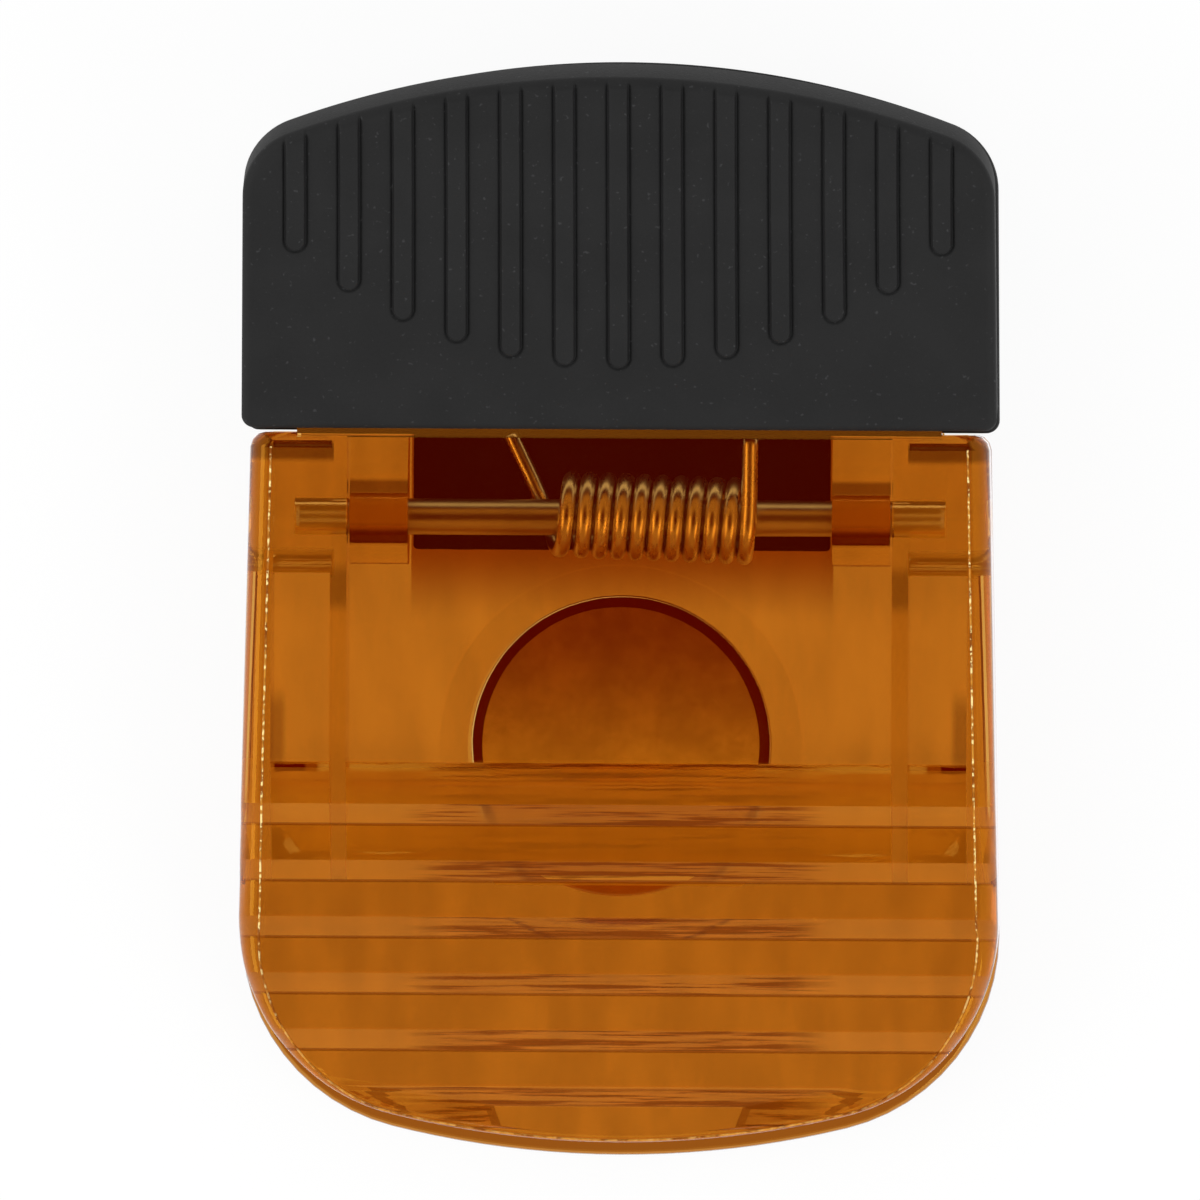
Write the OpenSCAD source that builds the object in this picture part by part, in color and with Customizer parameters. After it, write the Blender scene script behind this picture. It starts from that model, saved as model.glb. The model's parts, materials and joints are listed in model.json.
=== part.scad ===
// Magnetic spring clip: two clear jaws on one hinge pin, a torsion spring that shuts them,
// a soft grip cap moulded on each handle, and a disc magnet in the back of the rear jaw.
// Lengths are in millimetres. The clip lies on its back: +Y points along the handles, +Z points
// out of the front jaw, and the hinge axis runs along X. The origin is the middle of the
// clip's footprint, on the face that lies down.

/* [Jaws] */
// Width across the widest part of both jaws
jaw_w = 46; // [43:0.5:54]
// Width across both jaws at their handle-side edge
neck_w = 44.7; // [43.5:0.1:47]
// Distance from the hinge axis to the tip of the rear jaw
jaw_reach = 38.7; // [36:0.1:48]
// Distance that the front jaw's tip stays behind the rear one
tip_setback = 0.8; // [0.2:0.1:1.5]
// Distance from the hinge axis to the handle-side edge of the jaws
neck = 5.1; // [4.6:0.1:6.5]
// Radius of the round corners beside the tip
jaw_corner_r = 12.1; // [8:0.1:15]
// Radius of the tip's own arc
jaw_tip_r = 57.7; // [45:0.1:80]
// Radius of the small corners at the handle-side edge
neck_corner_r = 0.9; // [0.4:0.1:1.5]
// Largest opening angle of the front jaw, which every relief follows
open_angle = 22; // [15:1:22]

/* [Rear jaw] */
// Thickness of the rear jaw's plate
rear_t = 2.4; // [2.2:0.1:3]
// Rounding along the rear plate's edges
rear_edge = 0.4; // [0.2:0.05:0.8]
// Height of the hinge axis over the rear plate
hinge_rise = 3.6; // [3.4:0.1:4.5]
// Radius of the lugs and ears round the hinge pin
lug_r = 2.9; // [2.6:0.05:3.1]
// Thickness of each rear lug along the pin
lug_t = 3.5; // [2.5:0.1:4.5]
// Gap between a rear lug and the wall of the front jaw beside it
side_play = 0.15; // [0.05:0.05:0.4]
// Distance that the rear lugs stop inside the handle-side edge of the jaws
lug_inset = 0.2; // [0.1:0.05:0.5]

/* [Front jaw] */
// Thickness of the front jaw's plate
plate_t = 1.8; // [1.4:0.1:2.4]
// Gap between the lugs and the underside of the front plate
head_gap = 0.3; // [0.2:0.05:0.6]
// Thickness of the front jaw's skirt
skirt_t = 1.3; // [1:0.1:1.8]
// Width of the space inside the front jaw
cavity_w = 33; // [30:0.5:35]
// Slope of the wall that ends this space and the side channels towards the tip
cavity_slope = 41; // [36:1:70]
// Thickness of the walls between that space and the side channels
wall_t = 1; // [0.8:0.1:1.5]
// Width of the rounded rim round the front face
rim_w = 1.3; // [0.8:0.1:1.6]
// Height that the rim falls from the front face to the side wall
rim_drop = 1.5; // [1:0.1:1.8]
// Width of the rounded rim at the tip, where its height is less in the same proportion
rim_tip_w = 0.5; // [0.3:0.05:0.8]
// Gap between the skirt and the rear plate behind the gripping lip
mouth_gap = 0.6; // [0.3:0.1:1]
// Length of the lip at the tip that grips the sheet
lip_len = 5.5; // [3:0.5:8]
// Clearance round the magnet boss under the front jaw
boss_gap = 0.3; // [0.2:0.1:0.6]
// Distance that an ear reaches towards the tip past the radius of the lugs
ear_flare = 0.5; // [0.2:0.1:1]
// Distance that an ear stops inside the handle-side edge of the jaws
ear_inset = 0.5; // [0.2:0.1:0.8]

/* [Steps] */
// Number of steps down to the tip
step_n = 6; // [3:1:6]
// Distance from one step to the next
step_pitch = 3.43; // [2.6:0.01:3.6]
// Length of the slope at each step
step_ramp = 1.25; // [0.8:0.05:1.6]
// Height of each step
step_drop = 1; // [0.5:0.05:1.05]
// Length of the last flat before the tip
tip_flat = 2.15; // [1.9:0.05:3]
// Length of solid wedge before the first step
wedge_lead = 2.5; // [1.5:0.1:4]
// Width of the last step at its top
crown_w = 27.4; // [20:0.2:28]
// Width of the last step at its foot
crown_foot_w = 14.8; // [10:0.2:18]

/* [Magnet] */
// Diameter of the disc magnet
magnet_d = 18; // [14:0.5:19]
// Thickness of the disc magnet
magnet_t = 2; // [1.5:0.1:2.4]
// Diameter of the steel disc on the magnet
backing_d = 16.8; // [12:0.1:18]
// Thickness of that steel disc
backing_t = 0.5; // [0.3:0.1:0.8]
// Chamfer on the magnet's lower edge
magnet_chamfer = 0.3; // [0.1:0.05:0.5]
// Radial clearance of the magnet in its pocket
magnet_fit = 0.1; // [0.05:0.05:0.3]
// Wall of the boss round the pocket
boss_wall = 1.85; // [1:0.05:2.2]
// Thickness of clear floor over the steel disc
boss_floor = 0.8; // [0.5:0.1:1.2]
// Distance from the hinge axis to the magnet's centre
magnet_set = 13.85; // [13.5:0.05:17]

/* [Hinge pin] */
// Diameter of the hinge pin
pin_d = 2.2; // [1.6:0.1:2.6]
// Depth of the pin in each ear of the front jaw
pin_bite = 3.1; // [2:0.1:3.4]
// Chamfer on the pin's ends
pin_chamfer = 0.2; // [0.1:0.05:0.4]
// Radial clearance between the pin and the front jaw, which turns on it
pin_play = 0.04; // [0.02:0.01:0.1]
// Radial clearance between the pin and the rear lugs
pin_seat = 0.02; // [0.01:0.01:0.05]
// End play of the pin in each blind bore
pin_end_play = 0.1; // [0.05:0.05:0.3]

/* [Torsion spring] */
// Diameter of the spring wire
wire_d = 0.68; // [0.4:0.01:0.69]
// Mean diameter of the coil
coil_d = 4.2; // [3.6:0.1:4.6]
// Distance from one turn to the next
coil_pitch = 1.1; // [1.1:0.01:1.3]
// Full turns of the coil, which the two legs add half a turn to
coil_turns = 10; // [6:1:11]
// Sideways place of the coil's middle on the pin
coil_shift = 2; // [-3:0.1:3]
// Sideways slant of the rear leg over its length
leg_slant = 2.7; // [0:0.1:3]
// Gap between each leg's end and what it presses on
leg_gap = 0.05; // [0.02:0.01:0.1]
// Distance that the legs stop inside the handle-side edge of the jaws
leg_inset = 0.3; // [0.2:0.05:1]

/* [Grips] */
// Distance from the hinge axis to the free end of the handles
handle_reach = 27.6; // [24:0.1:36]
// Angle between the front handle and the rear one
handle_tilt = 18; // [15:0.5:22]
// Amount that a grip's foot is wider than the jaws beside it, each side
grip_overhang = 0.5; // [0:0.1:1]
// Amount that a grip's free end is narrower than the widest part of the jaws, each side
grip_taper = 0.3; // [0:0.05:1]
// Thickness of a grip without its ribs
grip_t = 3.4; // [3.4:0.1:4.2]
// Thickness of grip between its inner face and the tongue
grip_skin = 0.8; // [0.5:0.1:0.9]
// Radius of the corners at the free end
grip_corner_r = 4.3; // [3:0.1:8]
// Radius of the free end's arc
grip_end_r = 56; // [45:1:90]
// Radius of the corners beside the jaws
grip_foot_r = 0.8; // [0.7:0.05:1.5]
// Rounding along a grip's outer edges
grip_edge = 0.6; // [0.3:0.05:0.65]
// Gap between a grip and the edge of its jaw
grip_gap = 0.1; // [0.05:0.05:0.4]
// Width of the tongue inside each grip
tongue_w = 39; // [30:0.5:41]
// Thickness of grip round the end of its tongue
tongue_cover = 1.6; // [1:0.1:2.2]
// Clearance between a tongue and its pocket
tongue_fit = 0.02; // [0.01:0.01:0.05]
// Reach of the rear grip's seat pad past the hinge axis
pad_reach = 2; // [1:0.1:2.6]
// Thickness of the seat pad, which the spring's rear leg presses on
pad_t = 0.9; // [0.5:0.1:0.9]
// Gap between the seat pad and the lugs
pad_gap = 0.2; // [0.1:0.05:0.5]

/* [Ribs] */
// Number of ribs on each grip
rib_n = 13; // [5:2:13]
// Distance from one rib to the next
rib_pitch = 3.27; // [2:0.01:3.3]
// Width of a rib
rib_w = 1.4; // [0.8:0.1:1.8]
// Height of a rib
rib_h = 0.25; // [0.1:0.05:0.4]
// Distance from a grip's jaw-side edge to the middle rib
rib_foot = 3.3; // [2:0.1:6]
// Radius of the arc on which the ribs start
rib_arc_r = 29.1; // [26:0.1:60]
// Distance that the ribs stop inside the free end
rib_inset = 0.3; // [0.2:0.05:0.8]

/* [Hidden] */
$fn = 64;
over = 1;                     // how far a cutting solid runs past what it cuts
sink = 0.25;                  // how far a rib or ear runs into the wall that it is moulded with

// Heights
hinge_z = rear_t + hinge_rise;
plate_z = hinge_z + lug_r + head_gap;
face_z = plate_z + plate_t;
skirt_z = rear_t + mouth_gap;
boss_z = magnet_t + backing_t + boss_floor;
pad_z = rear_t + pad_t;

// Places along Y, with the hinge axis as their zero, and the axis in the part's own frame
hinge_y = (jaw_reach - handle_reach) / 2;
front_reach = jaw_reach - tip_setback;
step_last = front_reach - tip_flat - step_ramp;
step_start = step_last - (step_n - 1) * step_pitch;
cavity_end = step_start - wedge_lead;
cavity_foot = cavity_end + (plate_z - skirt_z) / tan(cavity_slope);

// Half widths
cavity_x = cavity_w / 2;
lug_x = cavity_x - side_play;
channel_x = cavity_x + wall_t;
skirt_x = min(neck_w, jaw_w) / 2 - skirt_t;
ear_front = lug_r + ear_flare;   // an ear reaches this far towards the tip
ear_back = neck - ear_inset;     // and this far towards the handle
boss_r = magnet_d / 2 + magnet_fit + boss_wall;

// Coil, which turns from the rear leg's side to the front leg's
coil_r = coil_d / 2;
coil_len = (coil_turns + 0.5) * coil_pitch;
coil_x = coil_shift - coil_len / 2;
leg_len = neck - leg_inset;
ring_count = 8;               // rings in a turn
side_count = 6;               // sides of the wire

// Grips. The front one is measured along its own slope.
front_foot = (grip_gap + (grip_t - grip_skin) * sin(handle_tilt)) / cos(handle_tilt);
front_end = (handle_reach - neck - (grip_skin - grip_edge / 2) * sin(handle_tilt)) / cos(handle_tilt);
rear_end = handle_reach - neck;
grip_foot_x = neck_w / 2 + grip_overhang;
grip_end_x = jaw_w / 2 - grip_taper;

// An outline is a list: half width at the foot, half width at the corners, length, corner radius,
// end radius and foot corner radius. Its foot is on v = 0 and its end on v = length.
function outline(foot_x, side_x, length, corner_r, end_r, foot_r) =
    [foot_x, side_x, length, corner_r, end_r, foot_r];
function end_centre(o) = o[2] - o[4];
function corner_x(o) = o[1] - o[3];
function corner_v(o) = end_centre(o) + sqrt(pow(o[4] - o[3], 2) - pow(corner_x(o), 2));
function corner_turn(o) = acos(corner_x(o) / (o[4] - o[3]));
function side_at(v, o) = o[0] + (o[1] - o[0]) * v / corner_v(o);

// Half width of the outline at v, drawn in by d
function half_at(v, d, o) =
    v <= corner_v(o) ? side_at(v, o) - d :
    v <= end_centre(o) + (o[4] - d) * sin(corner_turn(o)) ?
        corner_x(o) + sqrt(pow(o[3] - d, 2) - pow(v - corner_v(o), 2)) :
        sqrt(pow(o[4] - d, 2) - pow(v - end_centre(o), 2));

// Place along v of the outline's end at x, drawn in by d
function end_at(x, d, o) =
    x > (o[4] - d) * cos(corner_turn(o)) ?
        corner_v(o) + sqrt(max(0, pow(o[3] - d, 2) - pow(x - corner_x(o), 2))) :
        end_centre(o) + sqrt(pow(o[4] - d, 2) - x * x);

// Right half of an outline from foot to end as [x, v] points. The foot corner has three points,
// and foot_in says how far the foot edge itself is drawn in.
function foot_points(d, o, foot_in) =
    [for (a = [90, 60, 30]) [side_at(0, o) - d - (o[5] - foot_in) * (1 - cos(a)),
                             foot_in + (o[5] - foot_in) * (1 - sin(a))]];
function half_by_angle(d, o, foot_in = 0, corner_n = 12, end_n = 10) =
    concat(foot_points(d, o, foot_in),
           [[side_at(o[5], o) - d, o[5]]],
           [for (i = [0:corner_n]) let (a = corner_turn(o) * i / corner_n)
               [corner_x(o) + (o[3] - d) * cos(a), corner_v(o) + (o[3] - d) * sin(a)]],
           [for (i = [1:end_n]) let (a = corner_turn(o) + (90 - corner_turn(o)) * i / end_n)
               [i == end_n ? 0 : (o[4] - d) * cos(a), end_centre(o) + (o[4] - d) * sin(a)]]);

function lifted(half, z) = [for (p = half) [p[0], p[1], z]];
function plan(half) = [for (p = ring(lifted(half, 0))) [p[0], p[1]]];
function ring(half) =
    concat(half, [for (i = [len(half) - 2:-1:0]) [-half[i][0], half[i][1], half[i][2]]]);

// Closed solid through rings that each hold one half outline and its mirror image
module loft(halves) {
    m = 2 * len(halves[0]) - 1;
    top = (len(halves) - 1) * m;
    walls = [for (k = [0:len(halves) - 2], i = [0:m - 1]) let (a = k * m + i, b = k * m + (i + 1) % m)
        each [[a, a + m, b + m], [a, b + m, b]]];
    caps = [for (i = [0:len(halves[0]) - 2])
        each concat([[i, i + 1, m - 1 - i], [top + i, top + m - 1 - i, top + i + 1]],
                    i < len(halves[0]) - 2 ?
                        [[i + 1, m - 2 - i, m - 1 - i],
                         [top + i + 1, top + m - 1 - i, top + m - 2 - i]] : [])];
    polyhedron([for (h = halves) each ring(h)], concat(walls, caps));
}

jaw_front = outline(neck_w / 2, jaw_w / 2, neck + front_reach, jaw_corner_r, jaw_tip_r, neck_corner_r);
jaw_rear = outline(neck_w / 2, jaw_w / 2, neck + jaw_reach, jaw_corner_r, jaw_tip_r, neck_corner_r);

// Height of the front face at a distance u from the hinge axis towards the tip. The last step
// ends in a crown: it falls between its top's width and its foot's, and not along the jaw.
function face_at(x, u) =
    let (t = (u - step_start) / step_pitch, i = floor(t), ramp = (t - i) * step_pitch / step_ramp)
    u <= step_start ? face_z :
    u <= step_last ? face_z - step_drop * (i + min(1, ramp)) :
    face_z - step_drop * (step_n - 1 + share_of((crown_w / 2 - x) / (crown_w - crown_foot_w) * 2));
function share_of(t) = min(1, max(0, t));

// Half width of the flat face at v, which the crown narrows from the last step's top on
function crown_at(v) =
    let (t = (v - neck - step_last) / step_ramp)
    t < 0 ? jaw_w : (crown_w - (crown_w - crown_foot_w) * share_of(t)) / 2;

// Places along the front jaw where its outline has a point: each step's top and foot, and
// the quarters between each two of them
step_places = [for (i = [0:step_n - 1], foot = [0, step_ramp]) neck + step_start + i * step_pitch + foot];
jaw_places = halved(halved(concat([neck_corner_r], step_places)));
function halved(a) =
    [for (i = [0:2 * len(a) - 2]) (a[floor(i / 2)] + a[ceil(i / 2)]) / 2];

// The rim narrows from the widest part of the jaw to the last step's foot
function rim_at(v) =
    let (wide = corner_v(jaw_front), t = (v - wide) / (neck + step_last + step_ramp - wide))
    rim_w + (rim_tip_w - rim_w) * share_of(t);

// Half outline of the front jaw, drawn in by a share of its rim, through those places and on to the tip
function front_half(share, is_face = false, end_n = 16) =
    let (half = [for (v = jaw_places) let (x = half_at(v, share * rim_at(v), jaw_front))
                    [is_face ? min(x, crown_at(v)) : x, v]],
         last = half[len(half) - 1][0])
    concat(foot_points(share * rim_w, jaw_front, 0),
           half,
           [for (i = [1:end_n]) let (x = last * (1 - i / end_n))
               [x, end_at(x, share * rim_tip_w, jaw_front)]]);

// The rim is a quarter of an ellipse, from the side wall at turn 0 to the face at turn 90
rim_turns = [0:15:90];
function rim_half(turn) =
    [for (p = front_half(1 - cos(turn), turn == 90))
        [p[0], p[1], face_at(p[0], p[1] - neck) - rim_drop * rim_at(p[1]) / rim_w * (1 - sin(turn))]];

// Half outline of the rear plate at a turn round its edge, whose side wall is at turn 0
function rear_half(turn) = half_by_angle(rear_edge * (1 - cos(turn)), jaw_rear);

// Puts a jaw drawn with its foot on v = 0 in its place, with its tip towards -Y
module jaw_place() {
    translate([0, hinge_y + neck, 0]) rotate([0, 0, 180]) children();
}

// Extrudes a side view, drawn as [towards the handle, up] from the hinge axis, from x0 to x1
module along_hinge(x0, x1) {
    translate([x0, hinge_y, hinge_z]) rotate([90, 0, 90]) linear_extrude(x1 - x0) children();
}

module both_sides() {
    children();
    mirror([1, 0, 0]) children();
}

// Box from the hinge axis's own zero: x0 to x1, y0 to y1 towards the handle, z0 to z1 from the ground
module block(x0, x1, y0, y1, z0, z1) {
    translate([x0, hinge_y + y0, z0]) cube([x1 - x0, y1 - y0, z1 - z0]);
}

// Clear front jaw: plate, skirt, stepped wedge, ears and the tongue in its grip
module front_jaw() {
    color([0.82, 0.45, 0.08, 0.6]) difference() {
        union() {
            difference() {
                jaw_place() loft(concat([lifted(front_half(0), rear_t)],
                                        [for (turn = rim_turns) rim_half(turn)]));
                // space between the inner walls, and a channel outside each of them
                along_hinge(-cavity_x, cavity_x) cavity_side();
                both_sides() along_hinge(channel_x, skirt_x) cavity_side();
                // mouth behind the gripping lip, and room for the magnet boss
                block(-jaw_w, jaw_w, lip_len - front_reach, neck + over, 0, skirt_z);
                translate([0, hinge_y - magnet_set, 0])
                    cylinder(r = boss_r + boss_gap, h = boss_z + boss_gap);
            }
            both_sides() along_hinge(channel_x - sink, skirt_x + sink) ear_side();
            front_handle() linear_extrude(plate_t) tongue_plan(front_foot, front_end, 0, 0);
        }
        // relief that lets the handle side swing down to the rear plate
        along_hinge(-jaw_w, jaw_w) polygon([[0, skirt_z - hinge_z],
            [2 * neck, skirt_z - hinge_z + 2 * neck * tan(open_angle)],
            [2 * neck, -2 * hinge_z], [0, -2 * hinge_z]]);
        both_sides() translate([cavity_x - over, hinge_y, hinge_z]) rotate([0, 90, 0])
            cylinder(d = pin_d + 2 * pin_play, h = over + pin_bite + pin_end_play);
    }
}

// Side view of the space inside the front jaw, under the plate and up to its sloping end wall
module cavity_side() {
    roof = plate_z - hinge_z;
    polygon([[neck + over, roof], [-cavity_end, roof], [-cavity_foot, skirt_z - hinge_z],
             [-cavity_foot, -hinge_z], [neck + over, -hinge_z]]);
}

// Side view of an ear: a straight root under the plate, and half an ellipse below the pin's axis
module ear_side() {
    root = plate_z - hinge_z + sink;
    middle = (ear_back - ear_front) / 2;
    half = (ear_back + ear_front) / 2;
    polygon(concat([[ear_back, root], [-ear_front, root]],
                   [for (a = [180:10:360]) [middle + half * cos(a), lug_r * sin(a)]]));
}

// Frame of the front handle: foot on the plate's lower edge, sloping up along the handle
module front_handle() {
    translate([0, hinge_y + neck, plate_z]) rotate([handle_tilt, 0, 0]) children();
}

// Clear rear jaw: plate, lugs, magnet boss and the tongue in its grip
module rear_jaw() {
    color([0.82, 0.45, 0.08, 0.6]) difference() {
        union() {
            jaw_place() loft(concat(
                [for (turn = [90:-30:0]) lifted(rear_half(turn), rear_edge * (1 - sin(turn)))],
                [for (turn = [0:30:90]) lifted(rear_half(turn), rear_t - rear_edge * (1 - sin(turn)))]));
            both_sides() along_hinge(lug_x - lug_t, lug_x) lug_side();
            translate([0, hinge_y - magnet_set, rear_t / 2]) cylinder(r = boss_r, h = boss_z - rear_t / 2);
            translate([0, hinge_y + neck, rib_h + grip_skin]) linear_extrude(rear_t - rib_h - grip_skin)
                tongue_plan(grip_gap, rear_end, 0, over);
        }
        translate([0, hinge_y - magnet_set, -over])
            cylinder(d = magnet_d + 2 * magnet_fit, h = over + magnet_t + backing_t);
        translate([-jaw_w / 2, hinge_y, hinge_z]) rotate([0, 90, 0])
            cylinder(d = pin_d + 2 * pin_seat, h = jaw_w);
    }
}

// Side view of a rear lug: round over the pin, and falling towards the handle at the opening angle
module lug_side() {
    back = neck - lug_inset;
    circle(lug_r);
    polygon([[-lug_r, -hinge_rise - over], [-lug_r, 0], [0, 0],
             [lug_r * sin(open_angle), lug_r * cos(open_angle)],
             [back, lug_r / cos(open_angle) - back * tan(open_angle)],
             [back, -hinge_rise - over]]);
}

function grip_outline(foot, end) =
    outline(grip_foot_x, grip_end_x, end - foot, grip_corner_r, grip_end_r, grip_foot_r);

// Plan of the tongue inside a grip, from v = -root to the grip's own end drawn in
module tongue_plan(foot, end, grow, root) {
    x = tongue_w / 2 + grow;
    translate([-x, -root]) square([2 * x, root + end / 2]);
    intersection() {
        translate([-x, end / 4]) square([2 * x, end]);
        translate([0, foot]) polygon(plan(half_by_angle(tongue_cover - grow, grip_outline(foot, end))));
    }
}

// Grip cap with its inner face on z = 0 and its ribs on top. Its foot is on v = foot.
module grip_cap(foot, end) {
    o = grip_outline(foot, end);
    soft = grip_edge / 2;
    shoulder = grip_edge * (1 - cos(45));
    translate([0, foot, 0]) {
        loft([lifted(half_by_angle(soft, o, soft), 0),
              lifted(half_by_angle(0, o), soft),
              lifted(half_by_angle(0, o), grip_t - grip_edge),
              lifted(half_by_angle(shoulder, o, shoulder), grip_t - shoulder),
              lifted(half_by_angle(grip_edge, o, grip_edge), grip_t)]);
        translate([0, 0, grip_t / 2]) linear_extrude(grip_t / 2 + rib_h) intersection() {
            for (i = [0:rib_n - 1]) rib_shape((i - (rib_n - 1) / 2) * rib_pitch, end);
            polygon(plan(half_by_angle(rib_inset, o)));
        }
    }
}

// Plan of one rib: a bar with a round foot on the ribs' common arc
module rib_shape(x, end) {
    foot = rib_foot + rib_w / 2 + rib_arc_r - sqrt(pow(rib_arc_r, 2) - x * x);
    translate([x, foot]) {
        circle(rib_w / 2);
        translate([-rib_w / 2, 0]) square([rib_w, end]);
    }
}

// Soft grip on the front handle, with the pocket that its tongue fills
module front_grip() {
    color([0.14, 0.14, 0.15]) front_handle() difference() {
        translate([0, 0, -grip_skin]) grip_cap(front_foot, front_end);
        translate([0, 0, -tongue_fit]) linear_extrude(plate_t + 2 * tongue_fit)
            tongue_plan(front_foot, front_end, tongue_fit, over);
    }
}

// Soft grip on the rear handle, with the pad between the lugs that the spring presses on
module rear_grip() {
    color([0.14, 0.14, 0.15]) difference() {
        union() {
            translate([0, hinge_y + neck, grip_t + rib_h]) rotate([0, 180, 0]) grip_cap(grip_gap, rear_end);
            pad_x = lug_x - lug_t - pad_gap;
            block(-pad_x, pad_x, -pad_reach, neck + grip_gap + over, rear_t, pad_z);
        }
        translate([0, hinge_y + neck, rib_h + grip_skin - tongue_fit])
            linear_extrude(rear_t - rib_h - grip_skin + tongue_fit)
            tongue_plan(grip_gap, rear_end, tongue_fit, over);
    }
}

// Steel pin, held captive between the two blind bores of the front jaw
module hinge_pin() {
    r = pin_d / 2;
    half = cavity_x + pin_bite;
    color("silver") translate([-half, hinge_y, hinge_z]) rotate([0, 90, 0]) rotate_extrude()
        polygon([[0, 0], [r - pin_chamfer, 0], [r, pin_chamfer],
                 [r, 2 * half - pin_chamfer], [r - pin_chamfer, 2 * half], [0, 2 * half]]);
}

// Centre line of the spring from the hinge axis. It starts at the rear leg's end, goes round
// from the bottom of the coil to its top, and ends at the front leg's end.
function coil_point(t) =
    [coil_x + t * coil_pitch, -coil_r * sin(360 * t), -coil_r * cos(360 * t)];
function coil_out(t) = [0, -sin(360 * t), -cos(360 * t)];
function spring_line(n) =
    concat([[coil_x - leg_slant, leg_len, pad_z - hinge_z + wire_d / 2 + leg_gap]],
           [for (i = [0:n * (coil_turns + 0.5)]) coil_point(i / n)],
           [[coil_x + coil_len, leg_len, plate_z - hinge_z - wire_d / 2 - leg_gap]]);
function unit(v) = v / norm(v);

// Ring of the wire round each point of its line, with its first corner away from the coil's axis
function wire_rings(line, n) =
    [for (i = [0:len(line) - 1])
        let (t = unit(line[min(i + 1, len(line) - 1)] - line[max(i - 1, 0)]),
             away = coil_out(min(max(i - 1, 0), len(line) - 3) / n),
             a = unit(away - (away * t) * t),
             b = cross(t, a))
        [for (s = [0:side_count - 1]) let (w = 360 * s / side_count)
            line[i] + wire_d / 2 * (a * cos(w) + b * sin(w))]];

// Torsion spring: one unbroken wire with its two legs, shown at rest with the clip shut
module torsion_spring() {
    rings = wire_rings(spring_line(ring_count), ring_count);
    m = side_count;
    last = (len(rings) - 1) * m;
    walls = [for (k = [0:len(rings) - 2], i = [0:m - 1]) let (a = k * m + i, b = k * m + (i + 1) % m)
        each [[a, a + m, b + m], [a, b + m, b]]];
    caps = [for (i = [1:m - 2]) each [[0, i, i + 1], [last, last + i + 1, last + i]]];
    color("silver") translate([0, hinge_y, hinge_z])
        polyhedron([for (r = rings) each r], concat(walls, caps));
}

// Least gap between two stretches of the spring's wire, taken on a fine centre line
fine = 24;
fine_line = spring_line(fine);
echo(spring_gap = min([for (i = [0:len(fine_line) - 1], j = [i + fine / 2:len(fine_line) - 1])
    norm(fine_line[i] - fine_line[j])]) - wire_d);

// Disc magnet, flush with the back of the rear jaw
module magnet() {
    r = magnet_d / 2;
    color([0.12, 0.12, 0.13]) translate([0, hinge_y - magnet_set, 0]) rotate_extrude()
        polygon([[0, 0], [r - magnet_chamfer, 0], [r, magnet_chamfer], [r, magnet_t], [0, magnet_t]]);
}

// Steel disc between the magnet and the clear floor of its pocket
module magnet_backing() {
    color("silver") translate([0, hinge_y - magnet_set, magnet_t]) cylinder(d = backing_d, h = backing_t);
}

front_jaw();
front_grip();
rear_jaw();
rear_grip();
hinge_pin();
torsion_spring();
magnet();
magnet_backing();
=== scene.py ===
"""Dresses the magnetic spring clip: clear jaws, ribbed grips, the wound spring, steel and ferrite.

Lengths are in metres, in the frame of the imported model: +Y points along the handles, +Z out of
the front jaw, and the hinge axis runs along X.
"""

import json
import math

import bmesh
import bpy
import numpy as np
from bpy.props import FloatProperty, FloatVectorProperty, IntProperty, PointerProperty
from bpy.types import Operator, Panel, PropertyGroup
from mathutils import Matrix, Vector


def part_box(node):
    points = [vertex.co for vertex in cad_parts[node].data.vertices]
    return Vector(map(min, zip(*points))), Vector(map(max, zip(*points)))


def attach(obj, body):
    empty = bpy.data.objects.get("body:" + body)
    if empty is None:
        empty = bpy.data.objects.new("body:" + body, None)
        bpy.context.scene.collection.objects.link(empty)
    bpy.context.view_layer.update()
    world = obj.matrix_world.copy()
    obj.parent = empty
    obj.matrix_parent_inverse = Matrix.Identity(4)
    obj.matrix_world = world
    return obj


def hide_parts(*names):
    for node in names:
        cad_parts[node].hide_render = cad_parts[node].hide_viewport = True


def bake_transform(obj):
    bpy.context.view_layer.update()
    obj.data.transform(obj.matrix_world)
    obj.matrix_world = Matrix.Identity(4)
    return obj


bl_info = {
    "name": "Magnetic spring clip",
    "version": (1, 0, 0),
    "blender": (4, 5, 0),
    "location": "3D View > Sidebar > Clip",
    "description": "Adds the clear jaws, ribbed grips, spring and steel parts of a magnetic clip",
    "category": "Add Mesh",
}

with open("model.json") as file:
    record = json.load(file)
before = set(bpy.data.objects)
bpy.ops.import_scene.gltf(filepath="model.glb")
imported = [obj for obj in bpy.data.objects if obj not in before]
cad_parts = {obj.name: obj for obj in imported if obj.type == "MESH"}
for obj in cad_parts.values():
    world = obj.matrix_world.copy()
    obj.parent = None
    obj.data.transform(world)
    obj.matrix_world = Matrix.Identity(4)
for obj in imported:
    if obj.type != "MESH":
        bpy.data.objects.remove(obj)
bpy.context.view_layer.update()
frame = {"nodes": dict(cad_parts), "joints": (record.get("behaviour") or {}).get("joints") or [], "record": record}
HINGE = np.array(frame["joints"][0]["pos_m"])
MOUNTS = {m["name"]: m["pos_m"] for m in frame["record"]["mounts"]}
MM = 0.001
HAIR = MM / 100  # distance that is too small to tell apart
EDGE_ROWS = 8  # rows of points across a grip's round edge


def length(name, default, about):
    """A size of the clip, in metres."""
    return FloatProperty(name=name, description=about, default=default, unit="LENGTH", precision=5)


def limits(name, low, high, about, unit="LENGTH"):
    """Two values, between which something holds or fades."""
    return FloatVectorProperty(name=name, description=about, default=(low, high), size=2,
                               unit=unit, precision=5)


def point(name, default, about):
    """A place, in metres."""
    return FloatVectorProperty(name=name, description=about, default=default, size=3, unit="LENGTH")


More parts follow.
